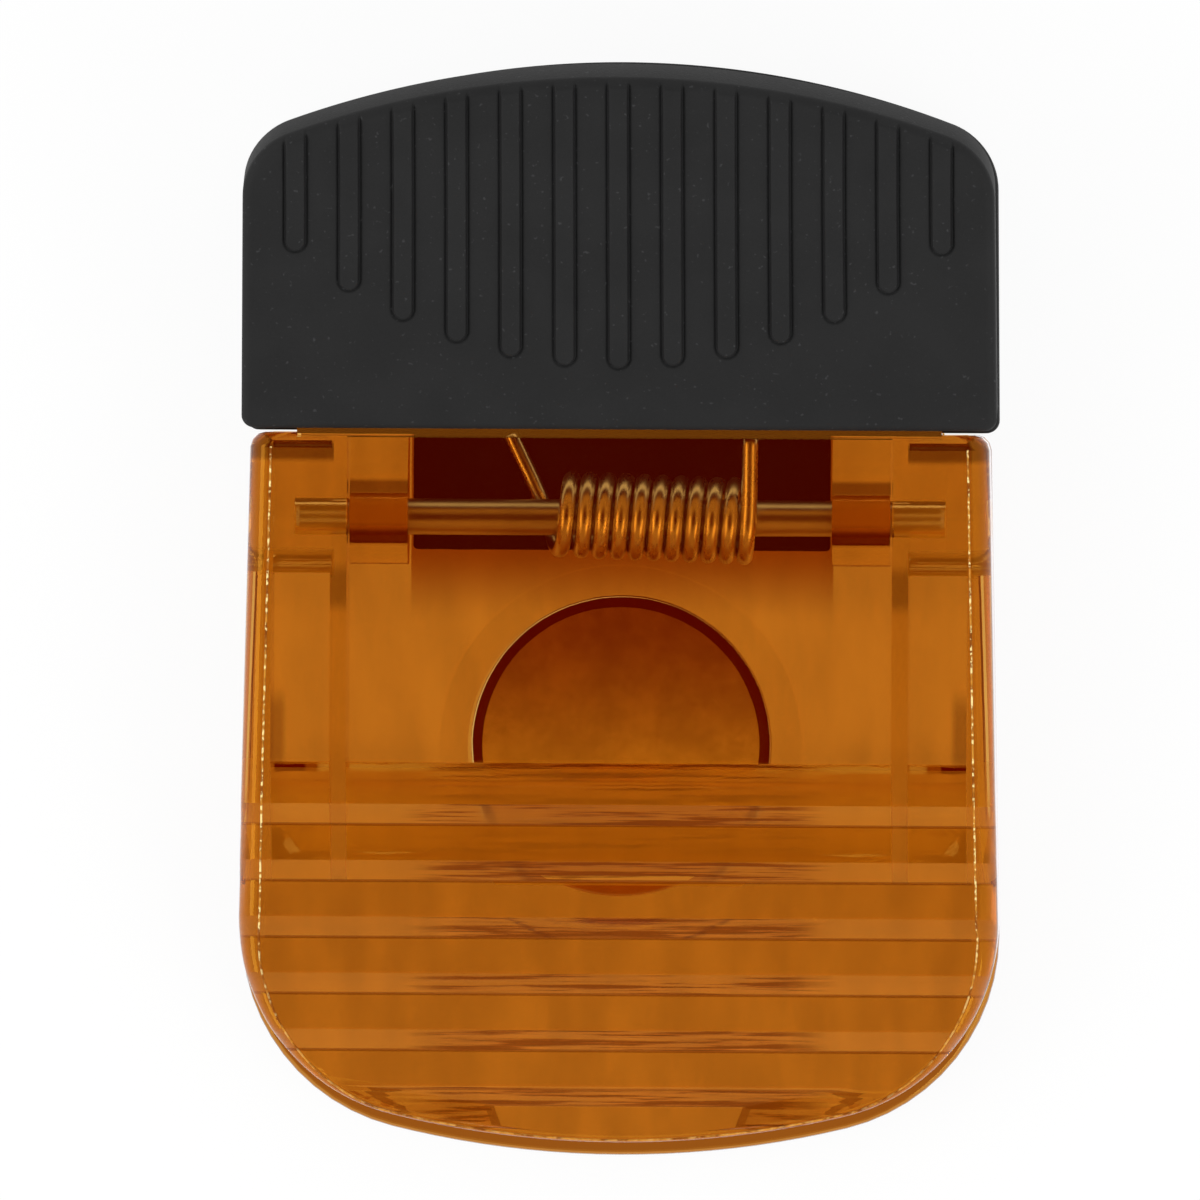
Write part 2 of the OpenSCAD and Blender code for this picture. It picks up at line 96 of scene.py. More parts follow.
def degrees(name, default, about):
    """An angle, given in degrees."""
    return FloatProperty(name=name, description=about, default=math.radians(default), subtype="ANGLE")


def portion(name, default, about):
    """A share from 0 to 1."""
    return FloatProperty(name=name, description=about, default=default, min=0, max=1, subtype="FACTOR")


def number(name, default, about):
    """A number of equal things."""
    return IntProperty(name=name, description=about, default=default)


def colour(name, default, about, size=3):
    """A linear colour."""
    return FloatVectorProperty(name=name, description=about, default=default, size=size,
                               subtype="COLOR", min=0, max=1)


# ---------------------------------------------------------------- sizes and colours


class ClipJawSizes(PropertyGroup):
    foot_half: length("Neck half width", 22.35 * MM, "Half the width at the jaws' handle-side edge")
    end_half: length("Half width", 23 * MM, "Half the width at the widest part")
    corner_radius: length("Corner radius", 12.1 * MM, "Radius of the corners beside the tip")
    end_radius: length("Tip radius", 57.7 * MM, "Radius of the tip's own arc")
    foot_radius: length("Neck corner", 0.9 * MM, "Radius of the corners at the handle side")
    reach: length("Reach", 37.9 * MM, "Distance from the hinge axis to the front jaw's tip")
    rim: length("Rim", 1.3 * MM, "Width of the rounded rim along the sides")
    line: length("Edge line", 0.06 * MM, "Radius of the sharp line between the face and its rim")
    line_tip: length("Edge line at the tip", 0.15 * MM, "Distance of that line from the outline at the tip")
    plate: length("Plate", 1.8 * MM, "Thickness of the front jaw's plate")
    neck: length("Neck", 5.1 * MM, "Distance from the hinge axis to the jaws' handle-side edge")
    bevel: length("Edge", 0.1 * MM, "Rounding along the moulded edges")
    bevel_steps: number("Edge steps", 2, "Faces across that rounding")
    contact: length("Contact", 0.03 * MM, "Air left where two pieces lie face to face")
    flat: length("Flat", 4.5 * MM, "Side of the smallest face that counts as wide")
    sharp: degrees("Sharp turn", 28, "Least turn between two faces whose edge is sharp")
    sharp_flat: degrees("Sharp turn of wide faces", 5, "The same between two wide faces")


class ClipStepSizes(PropertyGroup):
    count: number("Steps", 6, "Number of steps down to the tip")
    start: length("Start", 17.36 * MM, "Distance from the hinge axis to the first step")
    pitch: length("Pitch", 3.43 * MM, "Distance from one step to the next")
    ramp: length("Slope", 1.25 * MM, "Length of the slope at each step")
    drop: length("Drop", 1 * MM, "Height of a step")
    crown: length("Crown", 13.7 * MM, "Half the width of the last step at its top")
    crown_foot: length("Crown foot", 7.4 * MM, "Half the width of the last step at its foot")


class ClipGripSizes(PropertyGroup):
    foot_half: length("Foot half width", 22.85 * MM, "Half the width at the jaws")
    end_half: length("End half width", 22.7 * MM, "Half the width at the free end's corners")
    corner_radius: length("Corner radius", 4.3 * MM, "Radius of the corners at the free end")
    end_radius: length("End radius", 56 * MM, "Radius of the free end's arc")
    foot_radius: length("Foot radius", 0.8 * MM, "Radius of the corners beside the jaws")
    thickness: length("Thickness", 3.4 * MM, "Thickness without the ribs")
    skin: length("Skin", 0.8 * MM, "Thickness between the inner face and the tongue")
    edge: length("Edge", 0.6 * MM, "Rounding along the outer edges")
    inner_edge: length("Inner edge", 0.3 * MM, "Rounding along the inner edges")
    gap: length("Gap", 0.1 * MM, "Gap between a grip and the edge of its jaw")
    tilt: degrees("Tilt", 18, "Angle between the two handles")
    trim: length("Trim", 0.17 * MM, "Amount that the front grip stops inside its own solid")
    pad_half: length("Pad half width", 12.65 * MM, "Half the width of the seat pad between the lugs")
    pad_level: length("Pad level", 2.4 * MM, "Height of the seat pad's underside")
    pad_thickness: length("Pad thickness", 0.9 * MM, "Thickness of the seat pad")
    pad_edge: length("Pad edge", 0.15 * MM, "Rounding along the seat pad's edges")
    pad_lap: length("Pad lap", 1 * MM, "Length of the seat pad that lies inside the grip")


class ClipRibSizes(PropertyGroup):
    count: number("Ribs", 13, "Number of ribs on each grip")
    pitch: length("Pitch", 3.27 * MM, "Distance from one rib to the next")
    width: length("Width", 1.2 * MM, "Width of a rib")
    height: length("Height", 0.25 * MM, "Height of a rib")
    groove: length("Groove", 0.12 * MM, "Depth of the fine groove round a rib")
    foot: length("Foot", 4.1 * MM, "Distance from the grip's foot to the middle rib")
    arc: length("Arc", 29.9 * MM, "Radius of the arc on which the ribs start")


class ClipSpringSizes(PropertyGroup):
    wire: length("Wire", 1.0 * MM, "Diameter of the wire")
    coil: length("Coil", 4.3 * MM, "Mean diameter of the coil")
    pitch: length("Pitch", 1.1 * MM, "Distance from one turn to the next")
    turns: FloatProperty(name="Turns", description="Turns from leg to leg", default=10.5)
    start: length("Start", -3.775 * MM, "Place along the pin where the coil starts")
    bend: length("Bend", 0.8 * MM, "Sideways bend of the rear leg under the pin")
    slant: length("Slant", 2.2 * MM, "Sideways slant of the rear leg from there")
    leg: length("Front leg", 4.8 * MM, "Reach of the front leg behind the hinge axis")
    rear_leg: length("Rear leg", 5.1 * MM, "Reach of the rear leg behind the hinge axis")
    lean: degrees("Lean", 2, "Angle that the coil leans on the pin")


class ClipFinishes(PropertyGroup):
    amber_tint: colour("Amber tint", (0.70, 0.405, 0.11), "Colour that each clear wall lets through")
    # Painted shade: a deep tint for streaks on the slopes, lines in corners, the lip past the tip and the shadow
    # behind the spring.
    amber_deep: colour("Amber deep", (0.32, 0.1, 0.01), "Colour that tool marks and thin edges let through")
    # Painted light: a paler tint over the magnet, on the bores' walls and on the lugs' tops.
    amber_pale: colour("Amber pale", (0.93, 0.86, 0.6), "Colour that thin floors and bores let through")
    # Painted shade: colour of an opaque dark shader over the ears' and lugs' steep walls, the channels' edges, the
    # nooks and the deepest marks.
    amber_dusk: colour("Amber dusk", (0.15, 0.024, 0.001), "Colour of the steep walls of the ears and lugs")
    amber_milk: colour("Amber milk", (1.0, 0.58, 0.12), "Colour of the frosted wall under the steps")
    # Painted light: an emission glow in the frosted wall.
    milk_glow: colour("Milk glow", (0.12, 0.055, 0.003), "Light scattered inside that frosted wall")
    amber_shine: colour("Amber shine", (1.0, 0.5, 0.04), "Colour of the clear plastic's reflections")
    # Painted light: an emission glow that brightens the clear plastic.
    amber_glow: colour("Amber glow", (0.025, 0.0005, 0.0), "Light scattered inside the clear plastic")
    amber_depth: colour("Amber depth", (0.787, 0.64, 0.12, 1.0), "Colour left by the depth", 4)
    amber_density: FloatProperty(name="Amber density", description="Absorption in each metre", default=100)
    # Painted highlight: the edge line's colours paint its glints and the dark stretches between them.
    line_dark: colour("Line dark", (0.25, 0.06, 0.004), "Dark stretches of the face's edge line")
    line_light: colour("Line light", (0.62, 0.25, 0.03), "Bright stretches of the face's edge line")
    line_spark: colour("Line sparks", (1.0, 0.8, 0.34), "Glitter of the face's edge line")
    black: colour("Grip black", (0.0095, 0.0095, 0.0096), "Soft-touch black")
    black_speck: colour("Grip specks", (0.075, 0.075, 0.078), "Lighter specks in the black")
    pin: colour("Pin", (0.66, 0.64, 0.6), "Drawn pin")
    spring: colour("Spring", (0.88, 0.85, 0.8), "Drawn spring wire")
    disc: colour("Disc", (0.95, 0.95, 0.93), "Stamped disc")
    # Painted light: an emission glow on the disc.
    disc_glow: colour("Disc glow", (0.46, 0.25, 0.03), "Light that the disc catches from the walls round it")
    ferrite: colour("Ferrite", (0.035, 0.032, 0.03), "Ceramic magnet")


class ClipAmberPlaces(PropertyGroup):
    """Places where the clear plastic looks different, most of them places of painted light and painted shade: from
    the middle, from the hinge axis and in height.
    """
    steps_low: length("Steps", 4.2 * MM, "Height over which a wall ahead belongs to the steps")
    marks_fade: limits("Tool marks", 10.5 * MM, 14.5 * MM, "Distances from the middle where tool marks fade")
    marks_wander: length("Wander", 2.2 * MM, "Amount by which that fade wanders")
    # Painted shade: a dark line in the corner at each step's foot.
    corner_line: length("Corner line", 0.09 * MM, "Half the width of the dark line at a step's foot")
    corner_half: length("Corner line reach", 21.4 * MM, "Half the length of its darkest stretch")
    crown_slope: limits("Crown slope", 0.05, 0.95, "Heights of the last slope, as shares of a step", "NONE")
    # Painted shade: heights of the crown's two dark lines.
    crown_foot: limits("Crown foot", 0.02, 0.1, "Heights of the dark line at its foot", "NONE")
    crown_top: limits("Crown top", 0.8, 0.9, "Heights of the dark line at its top", "NONE")
    lip_top: length("Lip", 2.45 * MM, "Height of the rear jaw's lip past the front one")
    # Painted shadow: a dark tint on the rear plate behind the spring, fading towards the tip.
    window_height: limits("Window height", -1 * MM, 3.4 * MM, "Heights of the dark plate behind the spring")
    window_half: length("Window half width", 12.8 * MM, "Half the width of that plate between the lugs")
    window_fade: limits("Window end", 1.8 * MM, 6.5 * MM, "Distances ahead where that dark plate ends")
    # Painted light: the plastic over the magnet gets a paler tint, dimmed by painted shade towards the hinge.
    disc_radius: length("Over the magnet", 9.1 * MM, "Radius of the paler plastic over the magnet")
    floor_height: limits("Floor", 2.2 * MM, 3.6 * MM, "Heights of the rear jaw's floor over the magnet")
    roof_height: limits("Roof", 9.1 * MM, 9.3 * MM, "Heights of the front plate's inner face")
    floor_fade: limits("Floor fade", -4 * MM, 9 * MM, "Distances behind the magnet's middle where it fades")
    floor_end: length("Floor end", 21.9 * MM, "Distance ahead past which the floor looks frosted")
    bore_radius: length("Bore", 1.2 * MM, "Radius that takes in the bores' walls")
    lug_across: limits("Lugs", 12.6 * MM, 16.6 * MM, "Distances of the lugs' sides from the middle")
    lug_height: limits("Lug height", 6.2 * MM, 9.1 * MM, "Heights of the lugs beside and over the pin")
    lug_top: limits("Lug top", -1 * MM, 1.6 * MM, "Distances of a lug's level top behind the axis")
    lug_back: limits("Lug back", 1.2 * MM, 2.4 * MM, "Distances of a lug's rear slope behind the axis")
    lug_front: limits("Lug front", -1.8 * MM, -0.6 * MM, "Distances of its front slope behind the axis")
    ear_across: limits("Ears", 17.4 * MM, 21.9 * MM, "Distances of the ears' sides from the middle")
    ear_height: limits("Ear height", 2.9 * MM, 6.2 * MM, "Heights of the ears beside and under the pin")
    ear_back: limits("Ear back", 3.2 * MM, 4.7 * MM, "Distances of an ear's rear end behind the axis")
    ear_front: limits("Ear front", -3.9 * MM, -1.7 * MM, "Distances of its front end behind the axis")
    channel_across: limits("Channel", 20 * MM, 21.7 * MM, "Distances of a channel's edge from the middle")
    channel_ahead: limits("Channel reach", 10 * MM, 16 * MM, "Distances of that edge ahead of the axis")
    channel_height: limits("Channel height", 8.5 * MM, 9.3 * MM, "Heights of that edge")
    nook_across: limits("Nook", 16.4 * MM, 17.6 * MM, "Distances of the nook beside a lug from the middle")
    nook_ahead: limits("Nook reach", 2.6 * MM, 6 * MM, "Distances of that nook ahead of the axis")
    nook_height: limits("Nook height", 2.9 * MM, 3.1 * MM, "Heights of that nook's floor")
    # Painted light: the plate under the side channels gets a lighter tint.
    pocket_top: length("Pocket", 2.5 * MM, "Height of the plate under the side channels")
    pocket_half: length("Pocket half width", 22 * MM, "Half the width over which it is paler")
    pocket_ahead: limits("Pocket reach", 4 * MM, 15.5 * MM, "Distances ahead over which it is paler")
    wall_ahead: limits("Wall", 14.7 * MM, 22.3 * MM, "Distances of the sloping wall ahead of the axis")
    wall_height: limits("Wall height", 3.4 * MM, 8.9 * MM, "Heights of the sloping wall")
    wall_half: length("Wall half width", 21.9 * MM, "Half the width of the sloping wall")
    wall_fade: limits("Wall fade", 16 * MM, 17.6 * MM, "Distances ahead where its frost gets stronger")
    # Painted highlight: where the edge line's painted glints fade.
    line_fade: limits("Line fade", 22 * MM, 33 * MM, "Distances ahead where the edge line loses its sparks")
    # Painted light: where the disc's painted glow fades.
    glow_fade: limits("Disc fade", -5 * MM, 8 * MM, "Distances behind the disc's middle where its glow fades")


class ClipAmberShares(PropertyGroup):
    """How strong each difference in the clear plastic is, most of them painted light and painted shade."""
    cloud_tint: portion("Clouds", 0.6, "Lighter tint of the cloudy patches")
    # Painted light on the plate under the side channels.
    pocket_tint: portion("Pocket", 0.8, "Lighter tint of the plate under the side channels")
    # Painted shade on the slopes, between and along their tool marks.
    mark_tint: portion("Between the marks", 0.35, "Deep tint of a slope between its tool marks")
    # Painted shade in the lines at the steps' feet and along the crown.
    line_tint: portion("Corner lines", 0.75, "Deep tint of the lines at the steps' feet")
    # Painted shade towards the hinge, over the painted light above the magnet.
    floor_dim: portion("Floor dimming", 0.6, "Part of the floor's pale tint that fades towards the hinge")
    wave_relief: portion("Waves", 0.3, "Relief of the faint waves")
    mark_relief: portion("Marks", 0.7, "Relief of the tool marks")
    # Painted shade: strengths of the opaque dark shader on the walls, channels, nooks, marks and lines below.
    wall_dusk: portion("Steep walls", 0.65, "Dusk of the ears' and lugs' steep walls")
    nook_dusk: portion("Nooks", 0.4, "Dusk of the channels' edges and of the nooks")
    mark_dusk: portion("Deep marks", 0.65, "Dusk of the deepest tool marks")
    line_dusk: portion("Dark lines", 0.35, "Dusk of the lines at the steps' feet")
    crown_dusk: portion("Crown lines", 0.3, "Dusk of the crown's two lines")
    wall_frost: portion("Wall frost", 0.25, "Frost of the sloping wall at its top")
    wall_more: portion("More wall frost", 0.38, "Frost that is added lower down that wall")
    floor_frost: portion("Floor frost", 0.62, "Frost of the floor past that wall")
    bore_frost: portion("Bore frost", 0.35, "Frost of the ears' bores")
    lug_frost: portion("Lug frost", 0.5, "Frost of the lugs' level tops")
    ear_frost: portion("Ear frost", 0.6, "Frost of the ears' front ends")


class ClipStageSizes(PropertyGroup):
    view_width: length("View width", 72.7 * MM, "Width that the picture takes in at the hinge")
    view_x: length("View X", -1.244 * MM, "Middle of the picture across the clip")
    view_y: length("View Y", 0.546 * MM, "Middle of the picture along the clip")
    distance: length("Distance", 2.5, "Distance from the camera to the hinge")
    side: degrees("Side", 1.45, "Angle of the camera to the clip's right")
    fore: degrees("Fore", 0.5, "Angle of the camera towards the handles")
    roll: degrees("Roll", 0.3, "Turn of the camera about its own axis")
    floor_gap: length("Floor gap", 0.05 * MM, "Air under the clip")
    floor_half: length("Floor half width", 2.0, "Half the width of the floor")
    floor_white: portion("Floor white", 0.92, "Light that the floor's paint returns")
    floor_glow: portion("Floor glow", 0.92, "Part of the floor that looks pure white to the camera")
    dark_overhead: limits("Dark overhead", 0.86, 0.97, "Steepness over which the sky gets dark", "NONE")
    left_lamp: point("Left lamp", (-0.55, -0.1, 0.45), "Place of the left lamp")
    right_lamp: point("Right lamp", (0.5, -0.35, 0.5), "Place of the right lamp")
    lamp_width: length("Lamp width", 0.5, "Width of a lamp")
    lamp_height: length("Lamp height", 0.3, "Height of a lamp")
    lamp_power: FloatProperty(name="Lamp power", description="Watts of a lamp", default=1.6)


SIZES = {
    "clip_jaws": ClipJawSizes,
    "clip_steps": ClipStepSizes,
    "clip_grips": ClipGripSizes,
    "clip_ribs": ClipRibSizes,
    "clip_spring": ClipSpringSizes,
    "clip_finishes": ClipFinishes,
    "clip_amber_places": ClipAmberPlaces,
    "clip_amber_shares": ClipAmberShares,
    "clip_stage": ClipStageSizes,
}


# ---------------------------------------------------------------- shader maths


class Wire:
    """One output in a node tree. Arithmetic on it adds the Math nodes that work it out."""

    def __init__(self, graph, socket):
        self.graph, self.socket = graph, socket

    def _math(self, operation, *values):
        inputs = {str(i): value for i, value in enumerate(values)}
        return self.graph.node("Math", {"operation": operation}, **inputs)

    def __add__(self, other):
        return self._math("ADD", self, other)

    def __sub__(self, other):
        return self._math("SUBTRACT", self, other)

    def __rsub__(self, other):
        return self._math("SUBTRACT", other, self)

    def __mul__(self, other):
        return self._math("MULTIPLY", self, other)

    def __pow__(self, other):
        return self._math("POWER", self, other)

    def over(self, level):
        """1 where the value is over level, and 0 elsewhere."""
        return self._math("GREATER_THAN", self, level)

    def under(self, level):
        """1 where the value is under level, and 0 elsewhere."""
        return self._math("LESS_THAN", self, level)

    def between(self, low, high):
        """1 where the value is between two levels, and 0 elsewhere."""
        return self.over(low) * self.under(high)

    def hump(self, low, high):
        """0 outside two levels, and 1 on most of the way between them, with soft ends."""
        end = 0.3 * (high - low)
        return self.ramp(low, low + end) * (1 - self.ramp(high - end, high))

    def size(self):
        """The value without its sign."""
        return self._math("ABSOLUTE", self)

    def fraction(self):
        """What the value has over its own whole number."""
        return self._math("FRACT", self)

    def ramp(self, low, high):
        """The value spread from 0 at low to 1 at high, smoothly and clamped."""
        return self.graph.node("MapRange", {"interpolation_type": "SMOOTHSTEP"},
                               Value=self, From_Min=low, From_Max=high)

    __radd__, __rmul__ = __add__, __mul__


class Graph:
    """The node tree of a new material, or of the world."""

    def __init__(self, owner):
        owner.use_nodes = True
        self.tree = owner.node_tree
        self.tree.nodes.clear()

    def node(self, kind, settings=None, out=0, **inputs):
        """Adds a node of a type, sets its settings, then its sockets' values or links. Returns an output."""
        made = self.tree.nodes.new("ShaderNode" + kind)
        for name, value in (settings or {}).items():
            setattr(made, name, value)
        for name, value in inputs.items():
            socket = made.inputs[int(name) if name.isdigit() else name.replace("_", " ")]
            if isinstance(value, Wire):
                self.tree.links.new(value.socket, socket)
            else:
                socket.default_value = value
        return Wire(self, made.outputs[out])

    def output(self, kind="OutputMaterial", **inputs):
        """Adds the tree's own output and links it."""
        made = self.tree.nodes.new("ShaderNode" + kind)
        for name, value in inputs.items():
            self.tree.links.new(value.socket, made.inputs[name])

    def axes(self):
        """Object coordinates as three values."""
        here = self.node("TexCoord", out=3)
        return [self.node("SeparateXYZ", None, out=i, Vector=here) for i in range(3)]

    def place(self, scale=(1, 1, 1), turn=(0, 0, 0)):
        """Object coordinates, stretched and turned for a pattern."""
        here = self.node("TexCoord", out=3)
        return self.node("Mapping", None, Vector=here, Scale=scale, Rotation=turn)

    def noise(self, at, scale, detail=2.0, roughness=0.5):
        return self.node("TexNoise", None, Vector=at, Scale=scale, Detail=detail, Roughness=roughness)

    def mix(self, share, a, b):
        """Colour a where share is 0, and colour b where it is 1."""
        return self.node("Mix", {"data_type": "RGBA"}, out=2, **{"0": share, "6": a, "7": b})

    def either(self, first, *others):
        """The largest of some values."""
        for other in others:
            first = self.node("Math", {"operation": "MAXIMUM"}, **{"0": first, "1": other})
        return first

    def blend(self, share, a, b):
        """Shader a where share is 0, and shader b where it is 1."""
        return self.node("MixShader", None, **{"0": share, "1": a, "2": b})

    def bump(self, height, depth):
        """Surface normal for a height from 0 to 1 that stands for a depth in metres."""
        return self.node("Bump", None, Height=height, Distance=depth, Strength=1.0)

    def principled(self, **inputs):
        return self.node("BsdfPrincipled", None, **inputs)


def with_alpha(rgb, times=1.0):
    """A colour with alpha 1, made lighter or darker by a factor."""
    return (*(times * channel for channel in rgb), 1.0)


def material(name):
    """A new material and its graph."""
    made = bpy.data.materials.new(name)
    return made, Graph(made)


# Most of these masks place painted light and painted shade on the clear plastic.
class AmberMasks:
    """Masks over the clear plastic, from 0 to 1, worked out from object coordinates.

    across is the distance from the middle, ahead the one from the hinge axis towards the tip, and
    behind the one from that axis towards the handles.
    """

    def __init__(self, graph, scene):
        self.graph, self.places, self.shares = graph, scene.clip_amber_places, scene.clip_amber_shares
        x, y, self.z = graph.axes()
        self.across, self.ahead, self.behind = x.size(), HINGE[1] - y, y - HINGE[1]
        self.from_magnet = y - MOUNTS["magnet_face"][1]
        places = self.places
        self.over_disc = (x ** 2 + self.from_magnet ** 2).under(places.disc_radius ** 2)
        self.bore = (self.behind ** 2 + (self.z - HINGE[2]) ** 2).under(places.bore_radius ** 2)
        self.lug = self.across.between(*places.lug_across) * self.z.between(*places.lug_height)
        self.lug_top = self.lug * self.behind.hump(*places.lug_top)
        self.ear = self.across.between(*places.ear_across) * self.z.between(*places.ear_height)
        self.marks = graph.noise(graph.place((110.0, 3600.0, 900.0)), 1.0, 4.0, 0.6)
        self.corner, self.crown_lines, self.tooled = self.on_steps(scene.clip_steps)
        # Painted shade: the rear jaw's lip past the front jaw's tip gets the deep tint.
        self.lip = self.past_outline(scene.clip_jaws) * self.z.under(places.lip_top)

    def on_steps(self, steps):
        """The corners at the steps' feet, where painted dark lines go, the crown's two painted dark lines, and the
        slopes where they bear marks.
        """
        either, places = self.graph.either, self.places
        past = ((self.ahead - steps.start) * (1 / steps.pitch)).fraction() * steps.pitch
        stepped = self.ahead.over(steps.start) * self.z.over(places.steps_low)
        crowned = self.ahead.over(steps.start + (steps.count - 1) * steps.pitch)
        foot = MOUNTS["front_face"][2] - steps.count * steps.drop
        slope, low_line, high_line = (
            crowned * self.z.between(foot + low * steps.drop, foot + high * steps.drop)
            for low, high in (places.crown_slope, places.crown_foot, places.crown_top))
        slope = stepped * either(past.under(steps.ramp) * (1 - crowned), slope)
        wander = places.marks_wander * self.graph.noise(self.graph.place((300.0, 300.0, 300.0)), 1.0)
        tooled = slope * (1 - (self.across + wander).ramp(*places.marks_fade))
        # Painted shade goes on this thin band at each slope's foot.
        corner = stepped * (past - steps.ramp).size().under(places.corner_line) * (1 - crowned)
        return corner, either(low_line, high_line), tooled

    def past_outline(self, jaws):
        """Past the front jaw's corners and its tip."""
        plan = Plan(jaws, jaws.neck + jaws.reach)
        v = self.ahead + jaws.neck
        aside, along = self.across - plan.corner_x, v - plan.corner_v
        in_corner = (aside * math.tan(plan.turn) - along).over(0) * along.over(0)
        past_corner = in_corner * (aside ** 2 + along ** 2).over(plan.corner ** 2)
        past_tip = (self.across ** 2 + (v - plan.centre_v) ** 2).over(plan.arc ** 2)
        return self.graph.either(past_corner, past_tip)

    def light(self):
        """Cloudy patches of lighter tint, and painted light on the plate under the side channels."""
        places, shares = self.places, self.shares
        clouds = self.graph.noise(self.graph.place((420.0, 130.0, 300.0)), 1.0, 3.0)
        # Painted light on the plate under the side channels.
        pocket = self.z.under(places.pocket_top) * self.across.under(places.pocket_half)
        pocket = pocket * self.ahead.hump(*places.pocket_ahead)
        return shares.cloud_tint * clouds.ramp(0.35, 0.65) + shares.pocket_tint * pocket

    def dark(self):
        """Painted shade: streaks along the tool marks, lines at the steps' feet and along the crown, the lip past
        the tip, and a shadow on the plate behind the spring.
        """
        places, shares = self.places, self.shares
        # Painted shade: streaks of deeper tint follow the tool marks, whose relief is real.
        between = shares.mark_tint
        marks = self.tooled * (between + (1 - between) * self.marks.ramp(0.43, 0.57))
        # Painted shade: dark lines at the steps' feet and along the crown.
        lines = shares.line_tint * self.graph.either(self.corner, self.crown_lines)
        # Painted shadow on the plate behind the spring, fading towards the tip.
        painted_shadow = self.z.between(*places.window_height) * self.across.under(places.window_half)
        painted_shadow = painted_shadow * (1 - self.ahead.ramp(*places.window_fade))
        return self.graph.either(marks, lines, self.lip, painted_shadow)

    def pale(self):
        """Painted light: the plastic over the magnet, the bores' walls and the lugs' tops get a paler tint; over
        the magnet, painted shade dims it towards the hinge.
        """
        places = self.places
        heights = self.graph.either(self.z.between(*places.floor_height), self.z.between(*places.roof_height))
        # Painted shade dims the painted light towards the hinge.
        hinge_painted_shade = self.shares.floor_dim * self.from_magnet.ramp(*places.floor_fade)
        return self.graph.either(self.over_disc * heights * (1 - hinge_painted_shade), self.bore, self.lug_top)

    def steep(self):
        """Painted shade: the steep walls of the ears and lugs, the channels' edges, the nooks, the deepest tool
        marks, and the lines at the steps' feet and along the crown.
        """
        either, places, shares = self.graph.either, self.places, self.shares
        ears = self.ear * self.behind.hump(*places.ear_back)
        lugs = self.lug * either(self.behind.hump(*places.lug_back), self.behind.hump(*places.lug_front))
        channel = self.across.hump(*places.channel_across) * self.ahead.hump(*places.channel_ahead)
        channel = channel * self.z.between(*places.channel_height)
        nook = self.across.between(*places.nook_across) * self.ahead.hump(*places.nook_ahead)
        nook = nook * self.z.between(*places.nook_height)
        marks = shares.mark_dusk * self.tooled * self.marks.ramp(0.5, 0.6)
        corner = shares.line_dusk * self.corner * self.across.under(places.corner_half)
        return either(shares.wall_dusk * either(ears, lugs), shares.nook_dusk * either(channel, nook),
                      marks, corner, shares.crown_dusk * self.crown_lines)

    def frosted(self):
        """The sloping wall under the steps, the floor past it, and parts of the ears and lugs."""
        places, shares = self.places, self.shares
        wall = self.ahead.between(*places.wall_ahead) * self.z.between(*places.wall_height)
        wall = wall * self.across.under(places.wall_half)
        wall = wall * (shares.wall_frost + shares.wall_more * self.ahead.ramp(*places.wall_fade))
        floor = self.over_disc * self.ahead.over(places.floor_end) * self.z.between(*places.floor_height)
        ear_bore = self.bore * self.across.over(places.lug_across[1])
        ear_front = self.ear * self.behind.hump(*places.ear_front)
        return self.graph.either(wall, shares.floor_frost * floor, shares.bore_frost * ear_bore,
                                 shares.lug_frost * self.lug_top, shares.ear_frost * ear_front)


def clear_amber(scene):
    """Polished clear plastic: smooth, tinted at its surfaces and through its depth, faintly wavy.

    Each step's slope has tool marks in relief along it, with painted shade in streaks along them,
    which fade out towards the sides, and a painted dark line in the corner at its foot. The lip past
    the front jaw's tip is painted darker, and a painted shadow lies on the plate behind the spring.
    The plastic over the magnet, the bores' walls and the lugs' tops are painted lighter, and so is the
    plate under the side channels. The steep walls of the ears and lugs are painted with shade. The
    sloping wall under the steps is slightly frosted; it and the clear plastic glow with painted light.
    """
    finishes, shares = scene.clip_finishes, scene.clip_amber_shares
    made, g = material("clear_amber")
    masks = AmberMasks(g, scene)
    # Lit and shaded copies of the amber tint: random clouds mix them, and painted light lightens the plate under
    # the side channels.
    tint = g.mix(masks.light(), with_alpha(finishes.amber_tint, 0.91), with_alpha(finishes.amber_tint, 1.12))
    # Painted shade: the dark mask mixes in the deep tint.
    tint = g.mix(masks.dark(), tint, with_alpha(finishes.amber_deep))
    # Painted light: a paler tint over the magnet, on the bores' walls and on the lugs' tops.
    tint = g.mix(masks.pale(), tint, with_alpha(finishes.amber_pale))
    waves = g.noise(g.place(), 260.0, 2.0)
    relief = waves * shares.wave_relief + masks.tooled * masks.marks * shares.mark_relief
    # The clear plastic glows with painted light as emission.
    clear = g.principled(Base_Color=tint, Roughness=0.02, IOR=1.585, Transmission_Weight=1.0,
                         Normal=g.bump(relief, 0.04 * MM), Specular_Tint=with_alpha(finishes.amber_shine),
                         Emission_Color=with_alpha(finishes.amber_glow), Emission_Strength=1.0)
    # Painted shade: an opaque dark amber shader mixed over the clear plastic.
    dusk = g.principled(Base_Color=with_alpha(finishes.amber_dusk), Roughness=0.4, Specular_IOR_Level=0.0)
    # The frosted wall glows with painted light as emission.
    milk = g.principled(Base_Color=with_alpha(finishes.amber_milk), Roughness=0.5, Specular_IOR_Level=0.0,
                        Emission_Color=with_alpha(finishes.milk_glow), Emission_Strength=1.0)
    shader = g.blend(masks.frosted(), g.blend(masks.steep(), clear, dusk), milk)
    depth = g.node("VolumeAbsorption", None, Color=tuple(finishes.amber_depth),
                   Density=finishes.amber_density)
    g.output(Surface=shader, Volume=depth)
    return made


